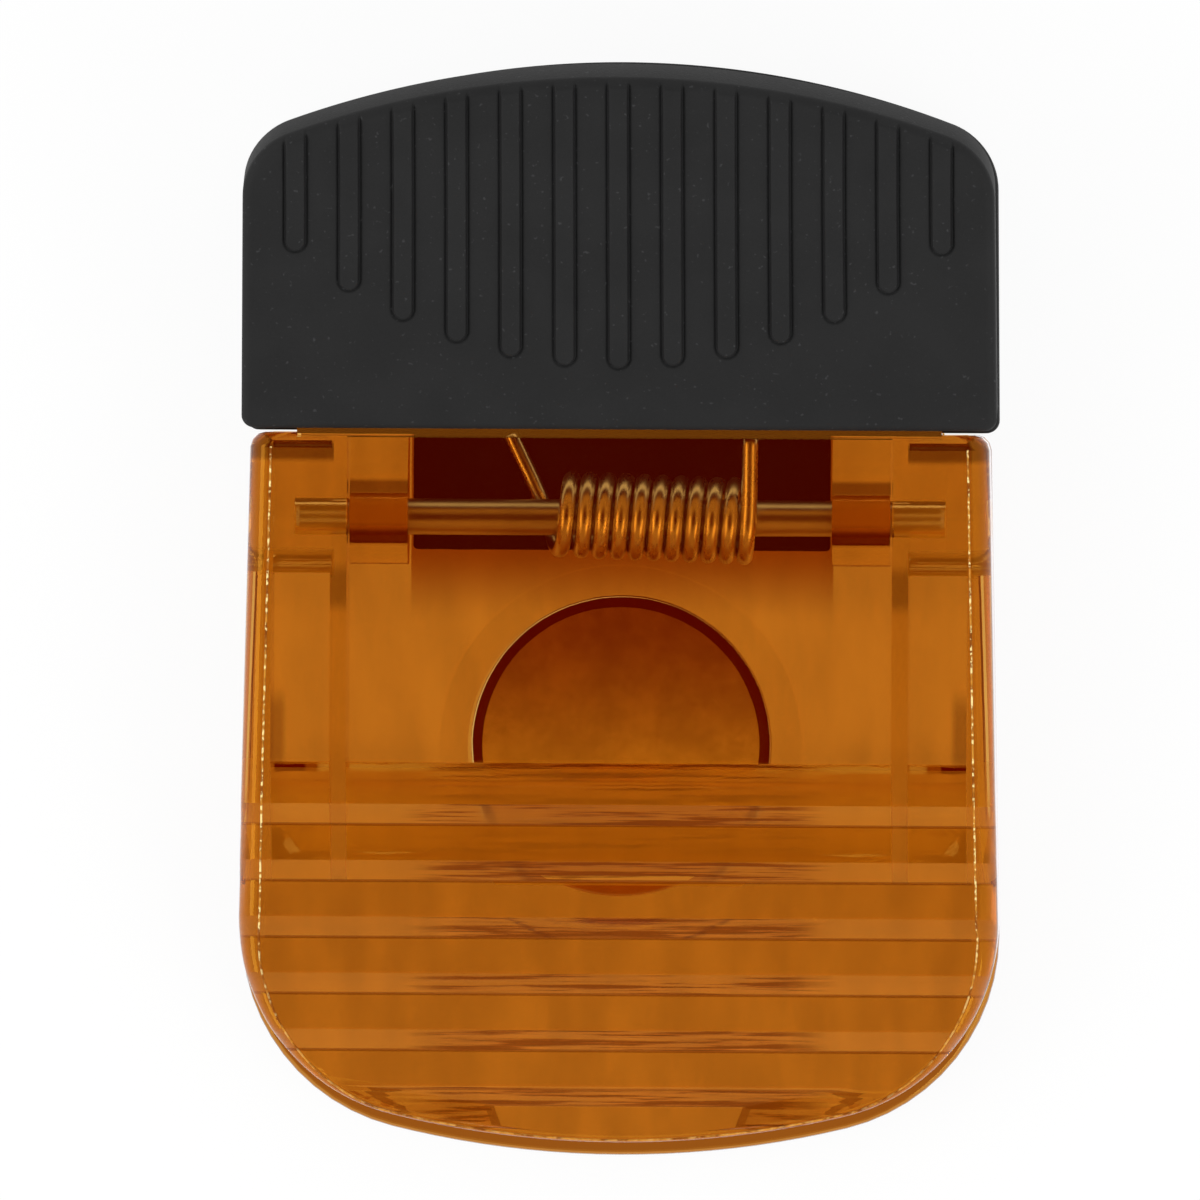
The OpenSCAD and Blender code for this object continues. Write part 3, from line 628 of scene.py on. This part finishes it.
def bright_line(scene):
    """Sharp edge line of the clear plastic, coloured with painted glints in short dashes and painted dark
    stretches between them, with fewer glints towards the tip.
    """
    finishes = scene.clip_finishes
    made, g = material("edge_line")
    ahead = HINGE[1] - g.axes()[1]
    # Painted highlight: dashes and sparks of painted glint along the edge line.
    dashes = g.noise(g.place((900.0, 900.0, 300.0)), 1.0, 3.0, 0.7)
    sparks = g.noise(g.place((2600.0, 2600.0, 900.0)), 1.0, 2.0, 0.6)
    sparks = sparks.ramp(0.5, 0.6) * (1 - 0.85 * ahead.ramp(*scene.clip_amber_places.line_fade))
    base = g.mix(dashes.ramp(0.38, 0.6), with_alpha(finishes.line_dark), with_alpha(finishes.line_light))
    base = g.mix(sparks, base, with_alpha(finishes.line_spark))
    g.output(Surface=g.principled(Base_Color=base, Roughness=0.4, Specular_IOR_Level=0.05))
    return made


def soft_black(finishes):
    """Soft-touch black: a fine grain with lighter specks, dull all over."""
    made, g = material("soft_black")
    here = g.place()
    grain = g.noise(here, 5200.0, 3.0, 0.6)
    cloud = g.noise(here, 260.0, 3.0)
    specks = 0.3 * g.noise(here, 3400.0, 1.0).ramp(0.68, 0.8)
    base = g.mix(cloud.ramp(0.3, 0.7), with_alpha(finishes.black, 0.9), with_alpha(finishes.black, 1.12))
    base = g.mix(specks, base, with_alpha(finishes.black_speck))
    shader = g.principled(Base_Color=base, Roughness=0.62 + 0.12 * grain, Specular_IOR_Level=0.22,
                          Normal=g.bump(grain, 0.02 * MM))
    g.output(Surface=shader)
    return made


def drawn_steel(name, tone, rough, along):
    """Bright drawn steel with fine lines, which along stretches in one direction."""
    made, g = material(name)
    lines = g.noise(g.place(along), 1.0, 3.0, 0.7)
    base = g.mix(lines.ramp(0.3, 0.75), with_alpha(tone, 0.86), with_alpha(tone))
    shader = g.principled(Base_Color=base, Metallic=1.0, Roughness=rough + 0.16 * lines,
                          Normal=g.bump(lines, 0.004 * MM))
    g.output(Surface=shader)
    return made


def disc_steel(scene):
    """Stamped steel disc: mottled, with fine scratches in two directions, and painted light as an emission glow,
    stronger towards the tip.
    """
    finishes = scene.clip_finishes
    made, g = material("disc_steel")
    mottle = g.noise(g.place(), 420.0, 5.0, 0.65)
    scratches = g.noise(g.place((180.0, 5200.0, 1.0), (0, 0, 0.35)), 1.0, 2.0).ramp(0.6, 0.7)
    crossing = g.noise(g.place((4200.0, 260.0, 1.0), (0, 0, -0.2)), 1.0, 2.0).ramp(0.62, 0.72)
    marks = scratches + crossing
    base = g.mix(mottle.ramp(0.35, 0.7), with_alpha(finishes.disc, 0.7), with_alpha(finishes.disc))
    from_middle = g.axes()[1] - MOUNTS["magnet_face"][1]
    # Painted light: an emission glow on the disc, stronger towards the tip.
    painted_light_strength = 0.12 + 0.88 * (1 - from_middle.ramp(*scene.clip_amber_places.glow_fade))
    glow = g.mix(painted_light_strength * (0.5 + 0.5 * mottle), with_alpha((0, 0, 0)), with_alpha(finishes.disc_glow))
    shader = g.principled(Base_Color=base, Metallic=0.2, Roughness=0.45 + 0.18 * mottle + 0.1 * marks,
                          Emission_Color=glow, Emission_Strength=1.0,
                          Normal=g.bump(mottle + 0.3 * marks, 0.012 * MM))
    g.output(Surface=shader)
    return made


def ferrite(finishes):
    """Dull pressed ceramic with a fine grain."""
    made, g = material("ferrite")
    grain = g.noise(g.place(), 2600.0, 3.0)
    base = g.mix(grain.ramp(0.3, 0.7), with_alpha(finishes.ferrite, 0.8), with_alpha(finishes.ferrite))
    shader = g.principled(Base_Color=base, Roughness=0.55 + 0.2 * grain, Normal=g.bump(grain, 0.01 * MM))
    g.output(Surface=shader)
    return made


# ---------------------------------------------------------------- surfaces


def mesh_piece(name, points, faces, body, look, nodes):
    """A smooth mesh piece at the origin that rides on a body and stands for CAD nodes."""
    data = bpy.data.meshes.new(name)
    data.from_pydata(points.reshape(-1, 3), [], faces)
    data.shade_smooth()
    piece = bpy.data.objects.new(name, data)
    bpy.context.scene.collection.objects.link(piece)
    data.materials.append(look)
    if nodes:
        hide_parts(*nodes)
    if body:
        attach(piece, body)
    return piece


def grid_faces(rows, cols, around=False):
    """Quads between neighbouring rows of points, whose last column meets the first if around is true."""
    index = np.arange(rows * cols).reshape(rows, cols)
    if around:
        index = np.hstack([index, index[:, :1]])
    a, b, c, d = index[:-1, :-1], index[:-1, 1:], index[1:, 1:], index[1:, :-1]
    return np.stack([a, b, c, d], axis=-1).reshape(-1, 4).tolist()


class Plan:
    """Outline of a jaw or a grip: sides that taper from the foot, round corners and an arc as the end."""

    def __init__(self, sizes, span):
        self.half, self.end_half = sizes.foot_half, sizes.end_half
        self.corner, self.arc, self.foot = sizes.corner_radius, sizes.end_radius, sizes.foot_radius
        self.corner_x = self.end_half - self.corner
        self.centre_v = span - self.arc
        self.corner_v = self.centre_v + math.sqrt((self.arc - self.corner) ** 2 - self.corner_x ** 2)
        self.turn = math.acos(self.corner_x / (self.arc - self.corner))

    def narrowing(self, v):
        """Share of the foot's width that is left at v."""
        return 1 - (1 - self.end_half / self.half) * np.clip(v / self.corner_v, 0, 1)

    def half_at(self, v, inset):
        """Half width at v, drawn in: along the side, then by the corner circle, then by the arc."""
        side = self.half * self.narrowing(v) - inset
        bulge = (self.corner - inset) ** 2 - (v - self.corner_v) ** 2
        corner = self.corner_x + np.sqrt(np.clip(bulge, 0, None))
        arc = np.sqrt(np.clip((self.arc - inset) ** 2 - (v - self.centre_v) ** 2, 0, None))
        past_corner = v > self.centre_v + (self.arc - inset) * math.sin(self.turn)
        return np.where(v <= self.corner_v, side, np.where(past_corner, arc, corner))

    def low(self, x):
        """Edge of the foot at x: zero, then a quarter circle up to the side."""
        inside = np.clip(np.abs(x) - (self.half - self.foot), 0, self.foot)
        return self.foot - np.sqrt(self.foot ** 2 - inside ** 2)

    def high(self, x):
        """Edge of the free end at x: the arc, then a corner circle down to the side."""
        x = np.abs(x)
        over_arc = self.centre_v + np.sqrt(self.arc ** 2 - x ** 2)
        over_corner = self.corner_v + np.sqrt(np.clip(self.corner ** 2 - (x - self.corner_x) ** 2, 0, None))
        return np.where(x > self.arc * math.cos(self.turn), over_corner, over_arc)

    def inside(self, x, v):
        """Distance from a point to the outline: the least of those to the side, the foot and the
        end, and in a corner the radius less the distance to the corner's centre."""
        x = np.abs(x)
        straight = np.minimum(self.half * self.narrowing(v) - x, self.arc - np.hypot(x, v - self.centre_v))
        in_corner = (v > self.corner_v) & (np.arctan2(v - self.corner_v, x - self.corner_x) < self.turn)
        far = np.where(in_corner, self.corner - np.hypot(x - self.corner_x, v - self.corner_v), straight)
        beside = x - (self.half - self.foot)
        in_foot = (beside > 0) & (v < self.foot)
        near = np.where(in_foot, self.foot - np.hypot(beside, self.foot - v), v)
        return np.where(in_foot, near, np.minimum(far, near))


def round_steps(radius, count):
    """Distances in from an edge at even turns of a quarter circle."""
    return radius * (1 - np.cos(np.linspace(0, math.pi / 2, count)))


def step_fall(x, out, steps):
    """How far the face has fallen: a drop for each slope passed, and a share of one on a slope. On the
    last step the share is taken across the jaw, from the crown's top to its foot."""
    t = (out - steps.start) / steps.pitch
    whole = np.floor(t)
    along = whole + np.clip((t - whole) * steps.pitch / steps.ramp, 0, 1)
    across = np.clip((steps.crown - np.abs(x)) / (steps.crown - steps.crown_foot), 0, 1)
    last = steps.start + (steps.count - 1) * steps.pitch
    on_steps = np.where(out <= last, along, steps.count - 1 + across)
    return steps.drop * np.where(out <= steps.start, 0, on_steps)


def face_border(jaws, steps, spacing=0.12 * MM):
    """Line between the front face and its rim, down one side, round the tip and up the other.

    It follows the jaw's outline, drawn in by the rim's width, which falls evenly from the widest
    part to the last step's foot. Its height follows the steps.
    """
    plan = Plan(jaws, jaws.neck + jaws.reach)
    last = jaws.neck + steps.start + (steps.count - 1) * steps.pitch + steps.ramp
    v = np.arange(jaws.foot_radius, last, spacing)
    rim = jaws.rim + (jaws.line_tip - jaws.rim) * np.clip((v - plan.corner_v) / (last - plan.corner_v), 0, 1)
    x = plan.half_at(v, rim)
    tip_x = np.arange(x[-1] - spacing, 0, -spacing)
    tip_v = plan.centre_v + np.sqrt((plan.arc - jaws.line_tip) ** 2 - tip_x ** 2)
    x, v = np.concatenate([x, tip_x]), np.concatenate([v, tip_v])
    x, v = np.concatenate([x, -x[::-1]]), np.concatenate([v, v[::-1]])
    level = MOUNTS["front_face"][2] - step_fall(x, v - jaws.neck, steps)
    return np.stack([x, HINGE[1] + jaws.neck - v, level], axis=1)


def rib_middles(ribs):
    """Places of the ribs' middles across a grip."""
    return ribs.pitch * (np.arange(ribs.count) - (ribs.count - 1) / 2)


def rib_starts(ribs):
    """Distances from the foot to the middles of the ribs' round ends, which lie on an arc."""
    return ribs.foot + ribs.width / 2 + ribs.arc - np.sqrt(ribs.arc ** 2 - rib_middles(ribs) ** 2)


def rib_columns(plan, sizes, ribs):
    """Places across a grip: close together at each rib's sides, at the grip's edges and in its corners.

    Those at a rib are given from its middle outwards, for a rib whose side lies at the value side.
    """
    side = 0.7
    on_rib = [0, 0.13, 0.26, 0.38, 0.48, 0.56, 0.62, 0.66, side]
    beside = [0.74, 0.78, 0.83, 0.9, 1.0, 1.3, 1.635]
    across = np.array(on_rib + beside) / side * ribs.width / 2
    across = across[across < ribs.pitch / 2 + HAIR]
    at_ribs = (rib_middles(ribs)[:, None] + np.concatenate([-across, across])).ravel()
    edge = plan.half - round_steps(sizes.edge, EDGE_ROWS)
    turns = np.linspace(0, plan.turn, 14)
    corner = (plan.corner_x + plan.corner * np.cos(turns)) * plan.half / plan.end_half
    outside = np.concatenate([edge, corner])
    every = np.sort(np.concatenate([at_ribs, outside, -outside]))
    return every[np.concatenate([[True], np.diff(every) > 1.2 * HAIR])]


def rib_relief(column, v, ribs):
    """Height that the ribs add at a place: up inside a rib's outline, with a fine groove just outside it."""
    middles, starts = rib_middles(ribs), rib_starts(ribs)
    nearest = np.clip(np.rint(column / ribs.pitch + (ribs.count - 1) / 2), 0, ribs.count - 1).astype(int)
    beside = np.abs(column - middles[nearest])
    outside = np.hypot(beside, np.minimum(v - starts[nearest], 0)) - ribs.width / 2
    profile = ((-0.12, ribs.height), (-0.05, 0.85 * ribs.height), (0.02, -0.8 * ribs.groove),
               (0.07, -ribs.groove), (0.13, -0.5 * ribs.groove), (0.22, 0))
    return np.interp(outside / MM, *zip(*profile))


def grip_top(plan, sizes, ribs):
    """Grid of points over a grip's outer face, whose columns run from the foot to the free end.

    Its height is the thickness, less a quarter circle by the distance to the outline, plus the
    relief of the ribs, which fades out at the outline. Rows are close together where ribs start.
    """
    columns = rib_columns(plan, sizes, ribs)
    middles, level = rib_middles(ribs), 0.3 * ribs.pitch
    level_ends = np.stack([middles - level, middles + level], 1).ravel()
    start = np.interp(columns, level_ends, np.repeat(rib_starts(ribs), 2))
    low = plan.low(columns)
    high = plan.high(columns * plan.end_half / plan.half)
    edge = round_steps(sizes.edge, EDGE_ROWS)[:, None]
    below, above = start - 0.95 * MM, start + 0.1 * MM
    rows_below, rows_near, rows_above = 10, 22, 16
    v = np.vstack([
        low + edge,
        low + edge[-1] + (below - low - edge[-1]) * np.linspace(0, 1, rows_below)[1:, None],
        below + (above - below) * np.linspace(0, 1, rows_near)[1:, None],
        above + (high - edge[-1] - above) * np.linspace(0, 1, rows_above)[1:, None],
        (high - edge[::-1])[1:],
    ])
    column = np.broadcast_to(columns, v.shape)
    x = column * plan.narrowing(v)
    inside = np.clip(plan.inside(x, v), 0, None)
    short = np.clip(sizes.edge - inside, 0, None)
    drop = sizes.edge - np.sqrt(np.clip(sizes.edge ** 2 - short ** 2, 0, None))
    fade = np.clip((inside - 0.1 * MM) / (0.4 * MM), 0, 1)
    w = sizes.thickness - drop + rib_relief(column, v, ribs) * fade * fade * (3 - 2 * fade)
    return np.stack([x, v, w], axis=-1)


def grip_surface(plan, sizes, ribs):
    """Closed shell of a grip, with its inner face on w = 0.

    The side drops from the border of the top's grid, and a small quarter circle turns it into the
    flat inner face.
    """
    top = grip_top(plan, sizes, ribs)
    rows, cols = top.shape[:2]
    index = np.arange(rows * cols).reshape(rows, cols)
    around = np.concatenate([index[0], index[1:, -1], index[-1, -2::-1], index[-2:0:-1, 0]])
    border = top.reshape(-1, 3)[around]
    along = np.roll(border, -1, axis=0) - np.roll(border, 1, axis=0)
    inward = np.stack([-along[:, 1], along[:, 0]], axis=1)
    inward /= np.linalg.norm(inward, axis=1, keepdims=True)
    count = len(border)
    rings = [
        np.column_stack([border[:, :2] + inward * sizes.inner_edge * (1 - math.cos(turn)),
                         np.full(count, sizes.inner_edge * (1 - math.sin(turn)))])
        for turn in np.linspace(0, math.pi / 2, 5)]
    points = np.concatenate([top.reshape(-1, 3), *rings])
    levels = np.vstack([around, rows * cols + np.arange(len(rings) * count).reshape(-1, count)])
    levels = np.hstack([levels, levels[:, :1]])
    corners = [levels[:-1, :-1], levels[1:, :-1], levels[1:, 1:], levels[:-1, 1:]]
    faces = grid_faces(rows, cols) + np.stack(corners, axis=-1).reshape(-1, 4).tolist()
    faces.append(levels[-1, :-1][::-1].tolist())
    return points, faces


def slab_surface(x_half, y_low, y_high, z_low, z_high, edge, sides=64):
    """Closed slab with round edges: one plan outline, drawn in by a quarter circle at both faces."""
    turn = np.linspace(0, 2 * math.pi, sides, endpoint=False) + math.pi / sides
    corner = 2 * edge
    unit = np.stack([np.cos(turn), np.sin(turn)], axis=1)
    middle = np.array([0, (y_low + y_high) / 2])
    reach = np.array([x_half, (y_high - y_low) / 2]) - corner
    quarter = np.linspace(0, math.pi / 2, 5)
    rings = []
    for z, turns in ((z_low + edge, quarter - math.pi / 2), (z_high - edge, quarter)):
        for t in turns:
            plan = middle + np.sign(unit) * reach + unit * (corner - edge * (1 - math.cos(t)))
            rings.append(np.column_stack([plan, np.full(sides, z + edge * math.sin(t))]))
    faces = grid_faces(len(rings), sides, around=True)
    faces.append(list(range(sides - 1, -1, -1)))
    faces.append(list(range((len(rings) - 1) * sides, len(rings) * sides)))
    return np.concatenate(rings), faces


def spring_path(spring, hinge, seat, plate, per_turn=40, leg_points=14, end_pull=0.9, coil_pull=0.6):
    """Centre line of the wire: a leg, the helix and a leg.

    The helix starts at the coil's underside and ends on its top, and goes on one pitch along the
    pin in each turn. Each leg is a cubic that leaves the helix along its own direction.
    """
    r = spring.coil / 2
    t = np.linspace(0, spring.turns, int(per_turn * spring.turns) + 1)
    angle = 2 * math.pi * t
    x = spring.start + spring.pitch * t - spring.bend * np.clip(1 - 2 * t, 0, 1) ** 2
    lean = -math.tan(spring.lean) * (x - x.mean())
    coil = np.stack([x, hinge[1] - r * np.sin(angle) + lean, hinge[2] - r * np.cos(angle)], axis=1)
    rear_end = np.array([x[0] - spring.slant, hinge[1] + spring.rear_leg, seat + spring.wire / 2])
    front_end = np.array([x[-1] + 0.1 * spring.pitch, hinge[1] + spring.leg, plate - spring.wire / 2])

    def leg(end, on, off):
        """Cubic from end, heading for the coil, to the point on, where the wire goes off that way."""
        s = np.linspace(0, 1, leg_points, endpoint=False)[:, None]
        reach = np.linalg.norm(on - end)
        out = (on - end) * end_pull
        into = off / np.linalg.norm(off) * reach * coil_pull
        return ((2 * s ** 3 - 3 * s ** 2 + 1) * end + (s ** 3 - 2 * s ** 2 + s) * out
                + (3 * s ** 2 - 2 * s ** 3) * on + (s ** 3 - s ** 2) * into)

    rear = leg(rear_end, coil[0], coil[1] - coil[0])
    front = leg(front_end, coil[-1], coil[-2] - coil[-1])[::-1]
    return np.concatenate([rear, coil, front])


def tube_surface(path, radius, sides=16, tip=0.12 * MM):
    """Closed tube round a path: at each point a circle square to the path, drawn in at both tips."""
    along = np.gradient(path, axis=0)
    along /= np.linalg.norm(along, axis=1, keepdims=True)
    first = np.array([1.0, 0, 0]) - along[:, :1] * along
    first /= np.linalg.norm(first, axis=1, keepdims=True)
    second = np.cross(along, first)
    size = np.full(len(path), radius)
    path = np.vstack([path[:1] - along[:1] * tip, path, path[-1:] + along[-1:] * tip])
    first, second = (np.vstack([f[:1], f, f[-1:]]) for f in (first, second))
    size = np.concatenate([[radius - tip], size, [radius - tip]])
    turn = np.linspace(0, 2 * math.pi, sides, endpoint=False)
    points = (path[:, None] + size[:, None, None]
              * (first[:, None] * np.cos(turn)[:, None] + second[:, None] * np.sin(turn)[:, None]))
    rings = len(path)
    faces = grid_faces(rings, sides, around=True)
    faces.append(list(range(sides - 1, -1, -1)))
    faces.append(list(range((rings - 1) * sides, rings * sides)))
    return points.reshape(-1, 3), faces


def jaw_mesh(name, met, sizes):
    """Copy of a jaw's solid, with its triangles joined into whole faces and its sharp edges marked.

    The face at the height met, where another piece lies on it, moves up by the contact's air.
    """
    data = frame["nodes"][name].data.copy()
    shape = bmesh.new()
    shape.from_mesh(data)
    bmesh.ops.remove_doubles(shape, verts=shape.verts, dist=1e-6)
    bmesh.ops.dissolve_limit(shape, angle_limit=math.radians(0.5), verts=shape.verts, edges=shape.edges)
    for corner in shape.verts:
        if abs(corner.co.z - met) < HAIR:
            corner.co.z += sizes.contact
    for edge in shape.edges:
        wide = min(face.calc_area() for face in edge.link_faces) > sizes.flat ** 2
        edge.smooth = edge.calc_face_angle(0) < (sizes.sharp_flat if wide else sizes.sharp)
    shape.to_mesh(data)
    shape.free()
    data.materials.clear()
    data.shade_smooth()
    return data


# ---------------------------------------------------------------- operators


class CLIP_OT_jaws(Operator):
    """Adds both clear jaws: the moulded solids with their edges rounded"""
    bl_idname = "clip.jaws"
    bl_label = "Clear jaws"

    def execute(self, context):
        scene = context.scene
        sizes = scene.clip_jaws
        look = clear_amber(scene)
        self.jaw(scene, "front_jaw", "front", scene.clip_grips.pad_level, look)
        self.jaw(scene, "rear_jaw", "rear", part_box("magnet_backing")[1].z, look)
        line = face_border(sizes, scene.clip_steps)
        points, faces = tube_surface(line, sizes.line, 6, sizes.line / 2)
        # The edge line is a thin tube whose colours are painted glints.
        mesh_piece("front_jaw_edge_line", points, faces, "front", bright_line(scene), [])
        return {"FINISHED"}

    def jaw(self, scene, name, body, met, look):
        sizes = scene.clip_jaws
        data = jaw_mesh(name, met, sizes)
        data.materials.append(look)
        piece = bpy.data.objects.new(name + "_clear", data)
        scene.collection.objects.link(piece)
        edge = piece.modifiers.new("edges", "BEVEL")
        edge.width, edge.segments = sizes.bevel, sizes.bevel_steps
        edge.limit_method, edge.angle_limit = "ANGLE", sizes.sharp
        flats = piece.modifiers.new("flats", "WEIGHTED_NORMAL")
        flats.keep_sharp, flats.weight = True, 100
        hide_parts(name)
        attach(piece, body)


class CLIP_OT_grips(Operator):
    """Adds both ribbed grips, and the seat pad that the rear one holds between the lugs"""
    bl_idname = "clip.grips"
    bl_label = "Ribbed grips"

    def execute(self, context):
        scene = context.scene
        look = soft_black(scene.clip_finishes)
        foot_y = HINGE[1] + scene.clip_jaws.neck
        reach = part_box("rear_grip")[1].y - foot_y
        self.front(scene, look, foot_y, reach)
        self.rear(scene, look, foot_y, reach)
        return {"FINISHED"}

    def front(self, scene, look, foot_y, reach):
        sizes, ribs = scene.clip_grips, scene.clip_ribs
        plate_z = MOUNTS["front_face"][2] - scene.clip_jaws.plate
        sin, cos = math.sin(sizes.tilt), math.cos(sizes.tilt)
        foot = (sizes.gap + (sizes.thickness - sizes.skin) * sin) / cos
        end = (reach - (sizes.skin - sizes.edge / 2) * sin) / cos - sizes.trim
        points, faces = grip_surface(Plan(sizes, end - foot), sizes, ribs)
        x, v, w = points[:, 0], points[:, 1] + foot, points[:, 2] - sizes.skin
        placed = np.stack([x, foot_y + v * cos - w * sin, plate_z + v * sin + w * cos], axis=1)
        mesh_piece("front_grip_cap", placed, faces, "front", look, ["front_grip"])

    def rear(self, scene, look, foot_y, reach):
        sizes, ribs = scene.clip_grips, scene.clip_ribs
        points, faces = grip_surface(Plan(sizes, reach - sizes.gap), sizes, ribs)
        top, foot_y = sizes.thickness + ribs.height, foot_y + sizes.gap
        placed = np.stack([-points[:, 0], foot_y + points[:, 1], top - points[:, 2]], axis=1)
        pad, pad_faces = slab_surface(
            sizes.pad_half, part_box("rear_grip")[0].y, foot_y + sizes.pad_lap,
            sizes.pad_level + scene.clip_jaws.contact, sizes.pad_level + sizes.pad_thickness, sizes.pad_edge)
        faces += [[index + len(placed) for index in face] for face in pad_faces]
        mesh_piece("rear_grip_cap", np.concatenate([placed, pad]), faces,
                   "rear", look, ["rear_grip"])


class CLIP_OT_spring(Operator):
    """Adds the torsion spring in its rest shape, as one fixed piece; on the real clip it winds up as the front jaw
    turns
    """
    bl_idname = "clip.spring"
    bl_label = "Torsion spring"

    def execute(self, context):
        scene = context.scene
        grips, spring = scene.clip_grips, scene.clip_spring
        seat = grips.pad_level + grips.pad_thickness
        plate = MOUNTS["front_face"][2] - scene.clip_jaws.plate
        points, faces = tube_surface(spring_path(spring, HINGE, seat, plate), spring.wire / 2)
        look = drawn_steel("spring_steel", scene.clip_finishes.spring, 0.2, (1400.0, 500.0, 500.0))
        nodes = ["torsion_spring"]
        piece = mesh_piece("torsion_spring_wire", points, faces, None, look, nodes)
        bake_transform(piece)
        return {"FINISHED"}


class CLIP_OT_metal(Operator):
    """Gives the hinge pin, the magnet and its backing disc their finishes"""
    bl_idname = "clip.metal"
    bl_label = "Pin and magnet"

    def execute(self, context):
        finishes = context.scene.clip_finishes
        looks = {
            "hinge_pin": drawn_steel("pin_steel", finishes.pin, 0.24, (60.0, 2600.0, 2600.0)),
            "magnet": ferrite(finishes),
            "magnet_backing": disc_steel(context.scene),
        }
        for name, look in looks.items():
            data = frame["nodes"][name].data
            data.materials.clear()
            data.materials.append(look)
        return {"FINISHED"}


class CLIP_OT_stage(Operator):
    """Adds the pale floor, the soft light and the camera"""
    bl_idname = "clip.stage"
    bl_label = "Stage"

    def execute(self, context):
        sizes = context.scene.clip_stage
        self.floor(context, sizes)
        self.world(context, sizes)
        self.lamp(context, sizes, "left_light", sizes.left_lamp)
        self.lamp(context, sizes, "right_light", sizes.right_lamp)
        self.camera(context, sizes)
        context.scene.view_settings.view_transform = "Standard"
        return {"FINISHED"}

    def floor(self, context, sizes):
        half, z = sizes.floor_half, -sizes.floor_gap
        corners = [(-half, -half, z), (half, -half, z), (half, half, z), (-half, half, z)]
        data = bpy.data.meshes.new("floor")
        data.from_pydata(corners, [], [(0, 1, 2, 3)])
        floor = bpy.data.objects.new("floor", data)
        context.scene.collection.objects.link(floor)
        look, g = material("floor_white")
        camera_ray, glossy_ray, transmitted_ray = (g.node("LightPath", out=i) for i in (0, 3, 6))
        bright = camera_ray * sizes.floor_glow + (glossy_ray + transmitted_ray)
        bright = g.node("Math", {"operation": "MINIMUM"}, **{"0": bright, "1": 1.0})
        glow = g.node("Emission", None, Color=(1, 1, 1, 1), Strength=1.0)
        paint = g.node("BsdfDiffuse", None, Color=with_alpha([sizes.floor_white] * 3))
        g.output(Surface=g.blend(bright, paint, glow))
        data.materials.append(look)

    def world(self, context, sizes):
        world = bpy.data.worlds.new("studio")
        context.scene.world = world
        g = Graph(world)
        up = g.node("SeparateXYZ", None, out=2, Vector=g.node("TexCoord", out=0))
        dark = up.ramp(*sizes.dark_overhead) * (1 - g.node("LightPath", out=0))
        light = g.node("Background", None, Color=(1, 1, 1, 1), Strength=1.0)
        shade = g.node("Background", None, Color=(0, 0, 0, 1), Strength=1.0)
        g.output("OutputWorld", Surface=g.blend(dark, light, shade))

    def lamp(self, context, sizes, name, place):
        light = bpy.data.lights.new(name, "AREA")
        light.shape, light.energy = "RECTANGLE", sizes.lamp_power
        light.size, light.size_y = sizes.lamp_width, sizes.lamp_height
        lamp = bpy.data.objects.new(name, light)
        lamp.location = place
        lamp.rotation_euler = (-Vector(place)).to_track_quat("-Z", "Y").to_euler()
        context.scene.collection.objects.link(lamp)

    def camera(self, context, sizes):
        lens = bpy.data.cameras.new("camera")
        lens.sensor_width = 36
        lens.lens = lens.sensor_width * sizes.distance / sizes.view_width
        lens.clip_start, lens.clip_end = 0.01, 10
        camera = bpy.data.objects.new("camera", lens)
        back = Matrix.Rotation(sizes.side, 3, "Y") @ Matrix.Rotation(-sizes.fore, 3, "X")
        middle = Vector((sizes.view_x, sizes.view_y, HINGE[2]))
        camera.location = middle + back @ Vector((0, 0, sizes.distance))
        camera.rotation_euler = (back @ Matrix.Rotation(sizes.roll, 3, "Z")).to_euler()
        context.scene.collection.objects.link(camera)
        context.scene.camera = camera


class CLIP_PT_panel(Panel):
    """Lists the clip's pieces and their sizes"""
    bl_idname = "CLIP_PT_panel"
    bl_label = "Magnetic spring clip"
    bl_space_type = "VIEW_3D"
    bl_region_type = "UI"
    bl_category = "Clip"

    def draw(self, context):
        for operator in OPERATORS:
            self.layout.operator(operator.bl_idname)
        for group, kind in SIZES.items():
            box = self.layout.box()
            for name in kind.__annotations__:
                box.prop(getattr(context.scene, group), name)


OPERATORS = (CLIP_OT_jaws, CLIP_OT_grips, CLIP_OT_spring, CLIP_OT_metal, CLIP_OT_stage)


def register():
    for kind in (*SIZES.values(), *OPERATORS, CLIP_PT_panel):
        bpy.utils.register_class(kind)
    for name, kind in SIZES.items():
        setattr(bpy.types.Scene, name, PointerProperty(type=kind))


def unregister():
    for name in SIZES:
        delattr(bpy.types.Scene, name)
    for kind in (CLIP_PT_panel, *reversed(OPERATORS), *reversed(SIZES.values())):
        bpy.utils.unregister_class(kind)


def main():
    register()
    for operator in OPERATORS:
        group, name = operator.bl_idname.split(".")
        getattr(getattr(bpy.ops, group), name)()


if __name__ == "__main__":
    main()
